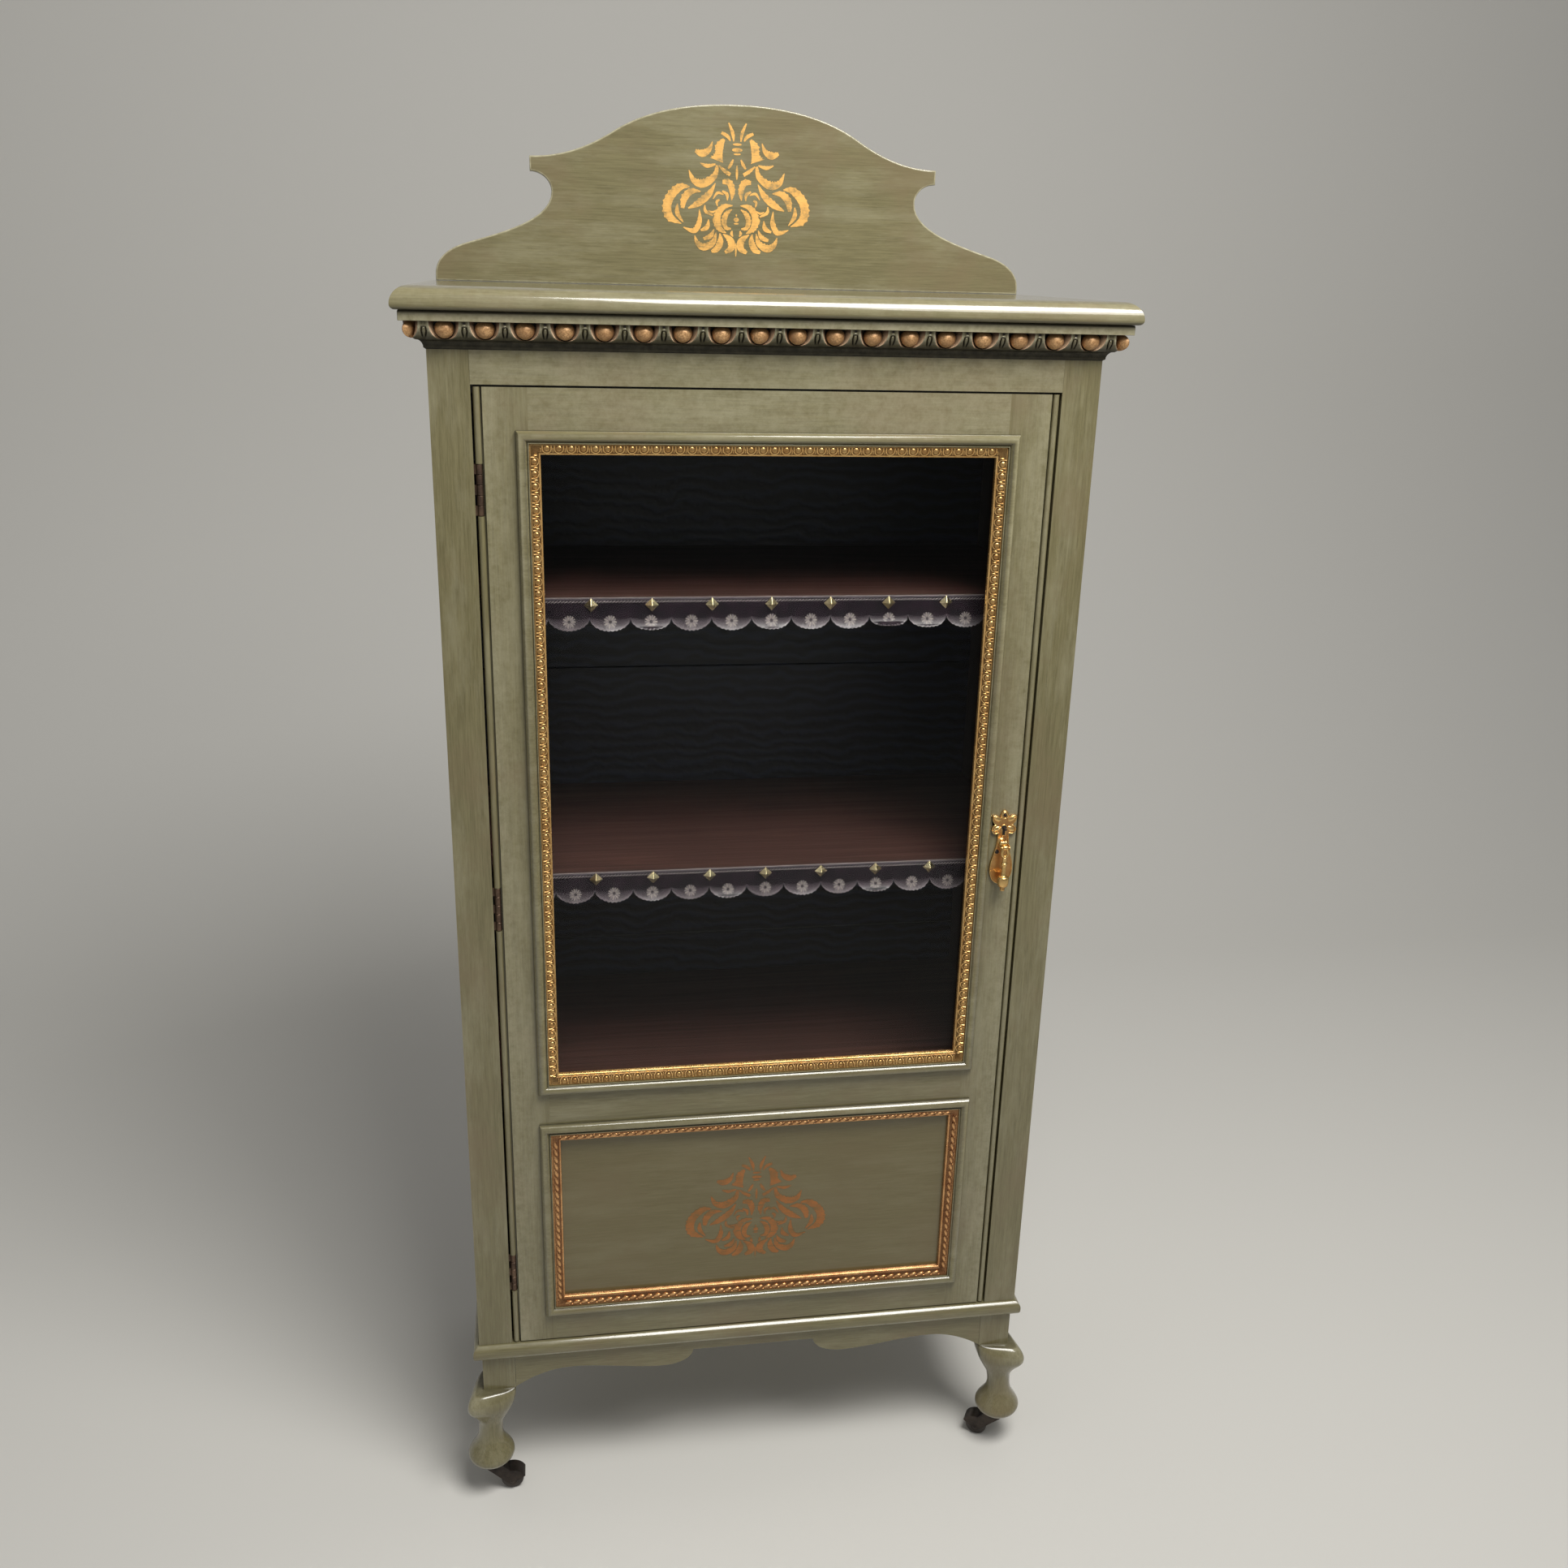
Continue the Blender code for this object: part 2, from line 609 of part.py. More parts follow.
def top_and_upstand(paint):
    """Top board with a thumb moulding, and the shaped board that stands on its back edge."""
    half = HALF_WIDTH + TOP_OVERHANG
    low = TOP_FOOT_Z
    thumb = arc((THUMB_WIDTH, TOP_Z - THUMB_HEIGHT), (-THUMB_WIDTH, THUMB_HEIGHT), 0, 90, THUMB_STEPS)
    profile = [(THUMB_UNDERCUT, low), (0, low + THUMB_LIP)] + [p for p in thumb if p[1] > low + THUMB_LIP]
    moulded_board("top_board", profile, half, FACE_Y - TOP_OVERHANG, BACK_Y, paint)

    edge = half_outline(UPSTAND_CURVE_SHARES, UPSTAND_HALF_WIDTH, UPSTAND_HEIGHT, UPSTAND_STEPS)
    outline = mirrored([(0, 0), (UPSTAND_HALF_WIDTH, 0)] + edge)
    add_object(
        "upstand",
        prism(
            [(x, BACK_Y - UPSTAND_THICKNESS, TOP_Z + GAP + z) for x, z in outline],
            Vector((0, UPSTAND_THICKNESS, 0)),
        ),
        paint, smooth=True,
    )


def cornice(paint):
    """Egg-and-dart cornice: a front length and two side lengths, mitred at the corners."""
    pitch = CARCASS_WIDTH / round(CARCASS_WIDTH / EGG_PITCH)

    def on_front(s, e, z):
        return Vector((-HALF_WIDTH + s, FACE_Y - e, z))

    def on_left(s, e, z):
        return Vector((-HALF_WIDTH - e, FACE_Y + s, z))

    def on_right(s, e, z):
        return Vector((HALF_WIDTH + e, FACE_Y + s, z))

    cornice_run("cornice_front", on_front, CARCASS_WIDTH, True, pitch, paint)
    cornice_run("cornice_left", on_left, CARCASS_DEPTH, False, pitch, paint)
    cornice_run("cornice_right", on_right, CARCASS_DEPTH, False, pitch, paint)


def cornice_run(name, put, length, mitred_end, pitch, paint):
    """One length of cornice; put places (distance along, projection, height) in the world."""
    foot_z = TOP_FOOT_Z - GAP - CORNICE_HEIGHT

    def run_start(e):
        return GAP - e

    def run_end(e):
        return length + e - GAP if mitred_end else length

    profile = [(GAP, foot_z)]
    profile += [(e * CORNICE_PROJECTION, foot_z + z * CORNICE_HEIGHT) for e, z in CORNICE_PROFILE_SHARES]
    profile.append((GAP, foot_z + CORNICE_HEIGHT))
    rings = [[put(end(e), e, z) for e, z in profile] for end in (run_start, run_end)]
    core = add_object(name, loft(rings), paint, smooth=True)

    places = [pitch * (i + 0.5) for i in range(-1, round(length / pitch) + 1)]
    if not mitred_end:
        places = [s for s in places if s + pitch / 2 < length]
    cut(core, cornice_cups(name, put, places, foot_z, length, paint))
    join(core, cornice_eggs(name, put, places, foot_z, length if mitred_end else None, paint))


def cornice_cups(name, put, places, foot_z, length, paint):
    """Cutters for the U-shaped cups round the eggs; each narrows towards the back."""
    head_z = foot_z + CUP_HEAD_SHARE * CORNICE_HEIGHT
    bm = bmesh.new()
    for s in places:
        # A cup past the end is shallower, so that the mitred egg in it still meets the core
        back_share = CUP_BACK_SHARE if 0 < s < length else CORNER_CUP_BACK_SHARE
        back_e = back_share * CORNICE_PROJECTION
        back = arc((s, head_z), (CUP_BACK_RADIUS, CUP_DEPTH), 180, 360, CUP_STEPS)
        front = arc((s, head_z), (CUP_FRONT_RADIUS, CUP_DEPTH), 180, 360, CUP_STEPS)
        loft(
            [
                [put(u, back_e, z) for u, z in back],
                [put(u, CORNICE_PROJECTION + GAP, z) for u, z in front],
            ],
            bm=bm,
        )
    return add_object(f"{name}_cups", bm, paint)


def cornice_eggs(name, put, places, foot_z, mitred_length, paint):
    """The eggs, as one guide; a corner egg is trimmed to the mitre."""
    egg_e = EGG_CENTRE_PROJECTION_SHARE * CORNICE_PROJECTION
    egg_z = foot_z + EGG_CENTRE_HEIGHT_SHARE * CORNICE_HEIGHT
    bm = bmesh.new()
    for s in places:
        egg = bmesh.new()
        bmesh.ops.create_uvsphere(egg, u_segments=EGG_SEGMENTS, v_segments=EGG_RINGS, radius=1)
        for vert in egg.verts:
            x, y, z = vert.co
            vert.co = (s + x * EGG_WIDTH / 2, egg_e + z * EGG_BULGE, egg_z + y * EGG_HEIGHT / 2)
        if s < 0:
            trim(egg, (0, GAP + MITRE_RECESS, 0), (-1, -1, 0))
        if mitred_length and s > mitred_length:
            trim(egg, (mitred_length, GAP + MITRE_RECESS, 0), (1, -1, 0))
        moved = {vert: bm.verts.new(put(*vert.co)) for vert in egg.verts}
        for face in egg.faces:
            bm.faces.new([moved[vert] for vert in face.verts])
        egg.free()
    return add_object(f"{name}_eggs", bm, paint)


def trim(bm, point, normal):
    """Cut away what lies beyond a plane, and close the cut."""
    geometry = list(bm.verts) + list(bm.edges) + list(bm.faces)
    bmesh.ops.bisect_plane(bm, geom=geometry, plane_co=point, plane_no=normal, clear_outer=True)
    rim = [edge for edge in bm.edges if edge.is_boundary]
    bmesh.ops.edgeloop_fill(bm, edges=rim)


def leg_centres():
    """Block centres, with the quarter turn that points each knee outward."""
    half_block = BLOCK_WIDTH / 2
    x = HALF_WIDTH - BLOCK_INSET - half_block
    front = FACE_Y + BLOCK_INSET + half_block
    rear = BACK_Y - REAR_LEG_CLEARANCE - FOOT_SHIFT - FOOT_WIDTH / 2
    return (
        ("front_left", Vector((-x, front, 0)), 0), ("front_right", Vector((x, front, 0)), 1),
        ("rear_right", Vector((x, rear, 0)), 2), ("rear_left", Vector((-x, rear, 0)), 3),
    )


def leg_section(z, shift, half, power, reach):
    """A rounded square ring, moved towards -X and -Y, with that corner drawn out."""
    ring = []
    for i in range(LEG_SEGMENTS):
        angle = math.tau * i / LEG_SEGMENTS
        c, s = math.cos(angle), math.sin(angle)
        radius = half / (abs(c) ** power + abs(s) ** power) ** (1 / power)
        draw = min(0, c + s) * radius * reach / 2
        ring.append((radius * c - shift + draw, radius * s - shift + draw, z))
    return ring


def legs(paint):
    """Four short cabriole legs of one piece each: block, knee, ankle and pad foot."""
    rings = [
        leg_section(
            CASTER_HEIGHT + height * LEG_HEIGHT, shift * FOOT_SHIFT, half * FOOT_WIDTH / 2, power, reach,
        )
        for height, shift, half, power, reach in LEG_SECTION_SHARES
    ]
    block_foot = CASTER_HEIGHT + LEG_BLOCK_FOOT_SHARE * LEG_HEIGHT
    for z in (block_foot, LEG_TOP_Z - GAP):
        rings.append(leg_section(z, 0, BLOCK_WIDTH / 2, SQUARE_POWER, 0))
    pattern = add_object("leg_pattern", loft(rings), paint, smooth=True)
    mesh = baked_mesh(pattern)
    for word, centre, quarter in leg_centres():
        place(f"leg_{word}", mesh, centre, quarter * math.pi / 2)


def apron_outline(half):
    """A shaped lower edge: a raised middle, a lobe each side, and an arch to each leg."""
    centre = half * APRON_CENTRE_SHARE
    lobe = half * APRON_LOBE_SHARE
    arch = half * APRON_ARCH_SHARE
    top = LEG_TOP_Z - GAP
    middle_z = LEG_TOP_Z - APRON_CENTRE_DEPTH
    lobe_z = LEG_TOP_Z - APRON_LOBE_DEPTH
    arch_z = LEG_TOP_Z - APRON_ARCH_DEPTH
    end_z = LEG_TOP_Z - APRON_END_DEPTH
    points = [(0, middle_z)]
    points += arc((lobe, middle_z), (centre - lobe, lobe_z - middle_z), 0, 90, APRON_STEPS)
    points += bezier(
        ((lobe, lobe_z), ((2 * lobe + arch) / 3, lobe_z), ((lobe + 2 * arch) / 3, arch_z), (arch, arch_z)),
        APRON_STEPS,
    )
    points += bezier(
        (
            (arch, arch_z), ((2 * arch + half) / 3, arch_z),
            ((arch + 2 * half) / 3, (2 * arch_z + end_z) / 3), (half, end_z),
        ),
        APRON_STEPS,
    )
    points.append((half, top))
    points.append((0, top))
    right = without_repeats(points)
    return right + [(-u, v) for u, v in reversed(right[1:-1])]


def aprons(paint):
    """Shaped rails between the leg blocks, on all four sides."""
    half_block = BLOCK_WIDTH / 2
    centres = {word: centre for word, centre, quarter in leg_centres()}
    front, rear = centres["front_left"].y, centres["rear_left"].y
    half_x = centres["front_right"].x - half_block - GAP
    half_y = (rear - front) / 2 - half_block - GAP
    middle_y = (rear + front) / 2
    front_face = front - half_block
    rear_face = rear + half_block - APRON_THICKNESS
    across = Vector((0, APRON_THICKNESS, 0))
    for word, y in (("front", front_face), ("rear", rear_face)):
        outline = [(u, y, v) for u, v in apron_outline(half_x)]
        add_object(f"apron_{word}", prism(outline, across), paint, smooth=True)
    outer = centres["front_right"].x + half_block
    for word, sign in (("left", -1), ("right", 1)):
        outline = [(sign * outer, middle_y + u, v) for u, v in apron_outline(half_y)]
        inward = Vector((-sign * APRON_THICKNESS, 0, 0))
        add_object(f"apron_{word}", prism(outline, inward), paint, smooth=True)


def dust_edging(word, height, leather):
    """A scalloped leather strip on a shelf's front edge, with its row of pyramid studs."""
    top_z = BASE_TOP_Z + height
    count = int(2 * HALF_OPENING / SCALLOP_PITCH)
    half = count * SCALLOP_PITCH / 2
    back_y = SHELF_FRONT_Y - GAP
    outline = [(-half, top_z)]
    for i in range(count):
        centre = -half + SCALLOP_PITCH * (i + 0.5)
        outline += arc(
            (centre, top_z - EDGING_BAND), (SCALLOP_PITCH / 2, -SCALLOP_DROP), 180, 0, SCALLOP_STEPS,
        )
    outline.append((half, top_z))
    strip = add_object(
        f"dust_edging_{word}",
        prism(
            [(x, back_y, z) for x, z in without_repeats(outline)], Vector((0, -EDGING_THICKNESS, 0)),
        ),
        leather,
    )
    studs = bmesh.new()
    stud_count = int(2 * half / STUD_PITCH) + 1
    base_y = back_y - EDGING_THICKNESS + STUD_SINK
    stud_z = top_z - STUD_DROP
    radius = STUD_DIAGONAL / 2
    for i in range(stud_count):
        x = STUD_PITCH * (i - (stud_count - 1) / 2)
        corners = [(x - radius, stud_z), (x, stud_z - radius), (x + radius, stud_z), (x, stud_z + radius)]
        base = [studs.verts.new((u, base_y, v)) for u, v in corners]
        tip = studs.verts.new((x, base_y - STUD_SINK - STUD_HEIGHT, stud_z))
        studs.faces.new(base)
        for j in range(4):
            studs.faces.new((base[j], base[(j + 1) % 4], tip))
    join(strip, add_object(f"dust_edging_{word}_studs", studs, leather))


def door_stiles(paint):
    """Stiles with a flush bead and quirk along the outer edge; returns left and right."""
    stiles = []
    bead_x = HALF_DOOR - BEAD_RADIUS
    quirk_x = HALF_DOOR - 2 * BEAD_RADIUS
    for word, sign in (("left", -1), ("right", 1)):
        section = [(HALF_DOOR, DOOR_BACK_Y)]
        section += arc((bead_x, FACE_Y + BEAD_RADIUS), (BEAD_RADIUS, -BEAD_RADIUS), 0, 180, BEAD_STEPS)
        section += [
            (quirk_x, FACE_Y + QUIRK_DEPTH), (quirk_x - QUIRK_WIDTH, FACE_Y + QUIRK_DEPTH),
            (quirk_x - QUIRK_WIDTH, FACE_Y), (HALF_SIGHT, FACE_Y), (HALF_SIGHT, DOOR_BACK_Y),
        ]
        outline = [(sign * x, y, DOOR_FOOT_Z) for x, y in section]
        length = Vector((0, 0, DOOR_TOP_Z - DOOR_FOOT_Z))
        stiles.append(add_object(f"door_stile_{word}", prism(outline, length), paint, smooth=True))
    return stiles


def door_frame(paint):
    """Stiles and rails with stub tenons, and the groove for the lower panel."""
    stiles = door_stiles(paint)
    middle_y = FACE_Y + GLASS_SETBACK + PANEL_THICKNESS / 2
    half = HALF_SIGHT - GAP
    rails = []
    for word, low, high in (
        ("bottom", DOOR_FOOT_Z, PANEL_LOW_Z), ("middle", PANEL_HIGH_Z, GLASS_LOW_Z),
        ("top", GLASS_HIGH_Z, DOOR_TOP_Z),
    ):
        rail = slab(f"door_rail_{word}", (-half, half), (FACE_Y, DOOR_BACK_Y), (low, high), paint)
        z_range = (low + TENON_SHOULDER, high - TENON_SHOULDER)
        tenon_joint(rail, stiles, HALF_SIGHT, middle_y, z_range, paint)
        rails.append(rail)

    tongue = PANEL_TONGUE
    panel_y = FACE_Y + GLASS_SETBACK
    groove = slab(
        "door_panel_groove", (-HALF_SIGHT - tongue - GAP, HALF_SIGHT + tongue + GAP),
        (panel_y - GAP, panel_y + PANEL_THICKNESS + GAP),
        (PANEL_LOW_Z - tongue - GAP, PANEL_HIGH_Z + tongue + GAP), paint,
    )
    for piece in stiles + rails[:2]:
        cut(piece, groove)
    panel = slab(
        "door_panel", (-HALF_SIGHT - tongue, HALF_SIGHT + tongue), (panel_y, panel_y + PANEL_THICKNESS),
        (PANEL_LOW_Z - tongue, PANEL_HIGH_Z + tongue), paint,
    )
    return stiles, rails + [panel]


def door_mouldings(paint, gilt, glass, dark_wood):
    """Raised mouldings, gilt slips, the glass, and the beading that holds it."""
    raised = [(-u * MOULDING_SEAT, FACE_Y - GAP - v * MOULDING_RISE) for u, v in MOULDING_PROFILE_SHARES]
    seat_y = FACE_Y + GLASS_SETBACK - GAP
    slip = [(GAP, seat_y)]
    slip += [(GAP + u * (SLIP_WIDTH - GAP), FACE_Y - v * SLIP_RISE) for u, v in SLIP_PROFILE_SHARES]
    slip.append((SLIP_WIDTH, seat_y))
    pieces = []
    for word, low, high in (
        ("glass", GLASS_LOW_Z, GLASS_HIGH_Z), ("panel", PANEL_LOW_Z, PANEL_HIGH_Z),
    ):
        pieces.append(mitred_frame(f"{word}_moulding", raised, HALF_SIGHT, low, high, paint))
        pieces.append(mitred_frame(f"{word}_slip", slip, HALF_SIGHT, low, high, gilt))

    pane_y = FACE_Y + GLASS_SETBACK
    pieces.append(slab(
        "door_glass", (-HALF_SIGHT + GAP, HALF_SIGHT - GAP), (pane_y, pane_y + GLASS_THICKNESS),
        (GLASS_LOW_Z + GAP, GLASS_HIGH_Z - GAP), glass,
    ))
    bead_y = pane_y + GLASS_THICKNESS + GAP
    beading = [
        (GAP, bead_y), (GAP, DOOR_BACK_Y), (BEADING_WIDTH / 2, DOOR_BACK_Y),
        (BEADING_WIDTH, (bead_y + DOOR_BACK_Y) / 2), (BEADING_WIDTH, bead_y),
    ]
    pieces.append(mitred_frame("glazing_beading", beading, HALF_SIGHT, GLASS_LOW_Z, GLASS_HIGH_Z, dark_wood))
    return pieces


def hinges(iron, door_stile, face_stile):
    """Three butt hinges whose knuckles stand in line with the door's bead."""
    low, high = DOOR_FOOT_Z + HINGE_INSET, DOOR_TOP_Z - HINGE_INSET
    heights = (
        ("bottom", low), ("middle", (low + high) / 2 + HINGE_MIDDLE_RISE), ("top", high),
    )
    frame_mesh = baked_mesh(frame_leaf_pattern(iron))
    door_mesh = baked_mesh(door_leaf_pattern(iron))
    leaf_back = DOOR_BACK_Y - HINGE_LEAF_MARGIN
    half = HINGE_LENGTH / 2
    door_leaves = []
    for word, z in heights:
        centre = (HINGE_X, HINGE_Y, z)
        place(f"hinge_frame_leaf_{word}", frame_mesh, centre)
        door_leaves.append(place(f"hinge_door_leaf_{word}", door_mesh, centre))
        length = (z - half - GAP, z + half + GAP)
        cut(face_stile, slab(
            f"hinge_{word}_frame_gain",
            (-HALF_OPENING - HINGE_LEAF_THICKNESS - GAP, -HALF_OPENING + DOOR_SIDE_GAP / 2),
            (HINGE_Y - GAP, leaf_back + GAP), length, iron,
        ))
        edge = -HALF_DOOR - DOOR_SIDE_GAP / 2
        cut(door_stile, slab(
            f"hinge_{word}_door_gain", (edge, -HALF_DOOR + HINGE_LEAF_THICKNESS + GAP),
            (HINGE_Y, leaf_back + GAP), length, iron,
        ))
        room = KNUCKLE_RADIUS + KNUCKLE_ROOM
        cut(door_stile, slab(
            f"hinge_{word}_knuckle_notch", (edge, HINGE_X + room), (FACE_Y - OVERRUN, HINGE_Y + room),
            length, iron,
        ))
    return door_leaves


def knuckle_spans():
    """Lower and upper ends of each knuckle, from the bottom, about the hinge's middle."""
    share = HINGE_LENGTH / HINGE_KNUCKLES
    return [
        (
            -HINGE_LENGTH / 2 + share * i + (GAP / 2 if i else 0),
            -HINGE_LENGTH / 2 + share * (i + 1) - (GAP / 2 if i < HINGE_KNUCKLES - 1 else 0),
        )
        for i in range(HINGE_KNUCKLES)
    ]


def frame_leaf_pattern(iron):
    """Leaf on the face stile, with the odd knuckles and the pin fast in them."""
    plate_x = -HALF_OPENING - HINGE_X
    half = HINGE_LENGTH / 2
    back = DOOR_BACK_Y - HINGE_LEAF_MARGIN - HINGE_Y
    leaf = slab(
        "frame_leaf_pattern", (plate_x - HINGE_LEAF_THICKNESS, plate_x), (0, back), (-half, half), iron,
    )
    for i, (low, high) in enumerate(knuckle_spans()):
        if i % 2 == 0:
            neck = slab(
                f"frame_neck_{i}", (plate_x - HINGE_LEAF_THICKNESS / 2, 0),
                (GAP, HINGE_LEAF_THICKNESS), (low, high), iron,
            )
            knuckle = turned_object(
                f"frame_knuckle_{i}", [(0, low), (KNUCKLE_RADIUS, low), (KNUCKLE_RADIUS, high), (0, high)],
                (0, 0, 0), (0, 0, 1), HINGE_SIDES, iron,
            )
            join(leaf, neck, knuckle)
    end = half - GAP
    pin = turned_object(
        "hinge_pin_core", [(0, -end), (HINGE_PIN_RADIUS, -end), (HINGE_PIN_RADIUS, end), (0, end)],
        (0, 0, 0), (0, 0, 1), HINGE_SIDES, iron,
    )
    join(leaf, pin)
    return leaf


def door_leaf_pattern(iron):
    """Leaf on the door's edge, with the even knuckles bored for the pin."""
    plate_x = -HALF_DOOR - HINGE_X
    half = HINGE_LENGTH / 2
    back = DOOR_BACK_Y - HINGE_LEAF_MARGIN - HINGE_Y
    front = KNUCKLE_RADIUS + GAP
    leaf = slab(
        "door_leaf_pattern", (plate_x, plate_x + HINGE_LEAF_THICKNESS), (front, back), (-half, half), iron,
    )
    for i, (low, high) in enumerate(knuckle_spans()):
        if i % 2:
            neck = slab(
                f"door_neck_{i}", (plate_x, plate_x + HINGE_LEAF_THICKNESS), (0, front + GAP), (low, high),
                iron,
            )
            knuckle = turned_object(
                f"door_knuckle_{i}", [(0, low), (KNUCKLE_RADIUS, low), (KNUCKLE_RADIUS, high), (0, high)],
                (0, 0, 0), (0, 0, 1), HINGE_SIDES, iron,
            )
            join(leaf, neck, knuckle)
    bore = HINGE_PIN_RADIUS + GAP
    end = half + OVERRUN
    cut(leaf, turned_object(
        "hinge_bore", [(0, -end), (bore, -end), (bore, end), (0, end)], (0, 0, 0), (0, 0, 1), HINGE_SIDES,
        iron,
    ))
    return leaf


def plate_outline():
    """The handle's backplate: a pear-shaped foot, a waist, two pairs of petals and a knob."""
    return mirrored(half_outline(PLATE_CURVE_SHARES, HANDLE_HALF_WIDTH, HANDLE_PLATE_HEIGHT, PLATE_STEPS))


def handle(brass, lock_stile):
    """Backplate with lugs and pin, and the drop that hangs from the pin."""
    outline = [(HANDLE_X + u, FACE_Y - GAP, HANDLE_FOOT_Z + v) for u, v in plate_outline()]
    plate = add_object("handle_plate", prism(outline, Vector((0, -HANDLE_PLATE_THICKNESS, 0))), brass)

    pin_x, pin_y, pin_z = DROP_PIVOT
    inner = EYE_WIDTH / 2 + GAP
    outer = inner + LUG_THICKNESS
    root_y = HANDLE_FRONT_Y + HANDLE_PLATE_THICKNESS / 2
    tip_y = pin_y - DROP_PIN_RADIUS - LUG_THICKNESS
    web_y = HANDLE_FRONT_Y - LUG_THICKNESS / 2
    fork = [
        (-outer, root_y), (-outer, tip_y), (-inner, tip_y), (-inner, web_y), (inner, web_y),
        (inner, tip_y), (outer, tip_y), (outer, root_y),
    ]
    lugs = add_object(
        "handle_lugs",
        prism([(pin_x + x, y, pin_z - LUG_HEIGHT / 2) for x, y in fork], Vector((0, 0, LUG_HEIGHT))), brass,
    )
    reach = inner + LUG_THICKNESS / 2
    pin = turned_object(
        "handle_pin", [(0, -reach), (DROP_PIN_RADIUS, -reach), (DROP_PIN_RADIUS, reach), (0, reach)],
        DROP_PIVOT, (1, 0, 0), DROP_SIDES, brass,
    )
    join(plate, lugs, pin)

    keyhole_points = arc((HANDLE_X, KEYHOLE_Z), (KEYHOLE_RADIUS, KEYHOLE_RADIUS), -50, 230, KEYHOLE_STEPS)
    slot = KEYHOLE_SLOT_WIDTH / 2
    foot = KEYHOLE_Z - KEYHOLE_SLOT_LENGTH
    keyhole_points += [(HANDLE_X - slot, foot), (HANDLE_X + slot, foot)]
    lock_front = LOCK_MIDDLE_Y - LOCK_THICKNESS / 2
    keyhole = add_object(
        "keyhole",
        prism(
            [(x, FACE_Y - OVERRUN, z) for x, z in keyhole_points],
            Vector((0, lock_front - FACE_Y + OVERRUN + BOLT_THICKNESS / 2, 0)),
        ),
        brass,
    )
    nail_z = HANDLE_FOOT_Z + PLATE_PIN_SHARE * HANDLE_PLATE_HEIGHT
    nail = turned_object(
        "plate_pin_hole",
        [(0, -OVERRUN), (PLATE_PIN_RADIUS, -OVERRUN), (PLATE_PIN_RADIUS, OVERRUN), (0, OVERRUN)],
        (HANDLE_X, FACE_Y, nail_z), (0, 1, 0), DROP_SIDES, brass,
    )
    cut(plate, keyhole, nail)
    cut(lock_stile, keyhole)

    top = -EYE_RADIUS / 2
    shaft = [(r * DROP_RADIUS, top - along * (DROP_LENGTH + top)) for r, along in DROP_PROFILE_SHARES]
    drop = turned_object("drop_handle", shaft, DROP_PIVOT, (0, 0, 1), DROP_SIDES, brass)
    half = EYE_WIDTH / 2
    eye = turned_object(
        "drop_eye", [(0, -half), (EYE_RADIUS, -half), (EYE_RADIUS, half), (0, half)], DROP_PIVOT,
        (1, 0, 0), DROP_SIDES, brass,
    )
    bore = DROP_PIN_RADIUS + GAP
    hole = turned_object(
        "drop_bore", [(0, -OVERRUN), (bore, -OVERRUN), (bore, OVERRUN), (0, OVERRUN)], DROP_PIVOT,
        (1, 0, 0), DROP_SIDES, brass,
    )
    join(drop, eye)
    cut(drop, hole)
    return plate, drop, keyhole


def lock(brass, iron, lock_stile, face_stile, keyhole):
    """Lock case let into the door's stile, its sliding bolt, and the keeper opposite."""
    inner = HANDLE_X - LOCK_MARGIN
    half_y, half_z = LOCK_THICKNESS / 2, LOCK_HEIGHT / 2
    y_range = (LOCK_MIDDLE_Y - half_y, LOCK_MIDDLE_Y + half_y)
    z_range = (KEYHOLE_Z - half_z, KEYHOLE_Z + half_z)
    case = slab("lock_case", (inner, HALF_DOOR - GAP), y_range, z_range, brass)
    pocket = slab(
        "lock_pocket", (inner - GAP, HALF_DOOR + OVERRUN), (y_range[0] - GAP, DOOR_BACK_Y + OVERRUN),
        (z_range[0] - GAP, z_range[1] + GAP), brass,
    )
    cut(lock_stile, pocket)

    bolt_y, bolt_z = BOLT_THICKNESS / 2, BOLT_HEIGHT / 2
    start = BOLT_END_X - BOLT_LENGTH
    bolt = slab(
        "lock_bolt", (start, BOLT_END_X), (LOCK_MIDDLE_Y - bolt_y, LOCK_MIDDLE_Y + bolt_y),
        (KEYHOLE_Z - bolt_z, KEYHOLE_Z + bolt_z), iron,
    )
    channel = slab(
        "bolt_channel", (start - GAP, HALF_WIDTH - FACE_STILE_WIDTH / 2 + BOLT_THROW / 2),
        (LOCK_MIDDLE_Y - bolt_y - GAP, LOCK_MIDDLE_Y + bolt_y + GAP),
        (KEYHOLE_Z - bolt_z - GAP, KEYHOLE_Z + bolt_z + GAP), iron,
    )
    cut(case, channel, keyhole)

    half = KEEPER_HEIGHT / 2
    width = KEEPER_WIDTH / 2
    keeper = slab(
        "lock_keeper", (HALF_OPENING, HALF_OPENING + KEEPER_THICKNESS),
        (LOCK_MIDDLE_Y - width, LOCK_MIDDLE_Y + width), (KEYHOLE_Z - half, KEYHOLE_Z + half), brass,
    )
    cut(keeper, channel)
    gain = slab(
        "keeper_gain", (HALF_OPENING - DOOR_SIDE_GAP / 2, HALF_OPENING + KEEPER_THICKNESS + GAP),
        (LOCK_MIDDLE_Y - width - GAP, LOCK_MIDDLE_Y + width + GAP),
        (KEYHOLE_Z - half - GAP, KEYHOLE_Z + half + GAP), brass,
    )
    cut(face_stile, gain, channel)
    return case, bolt


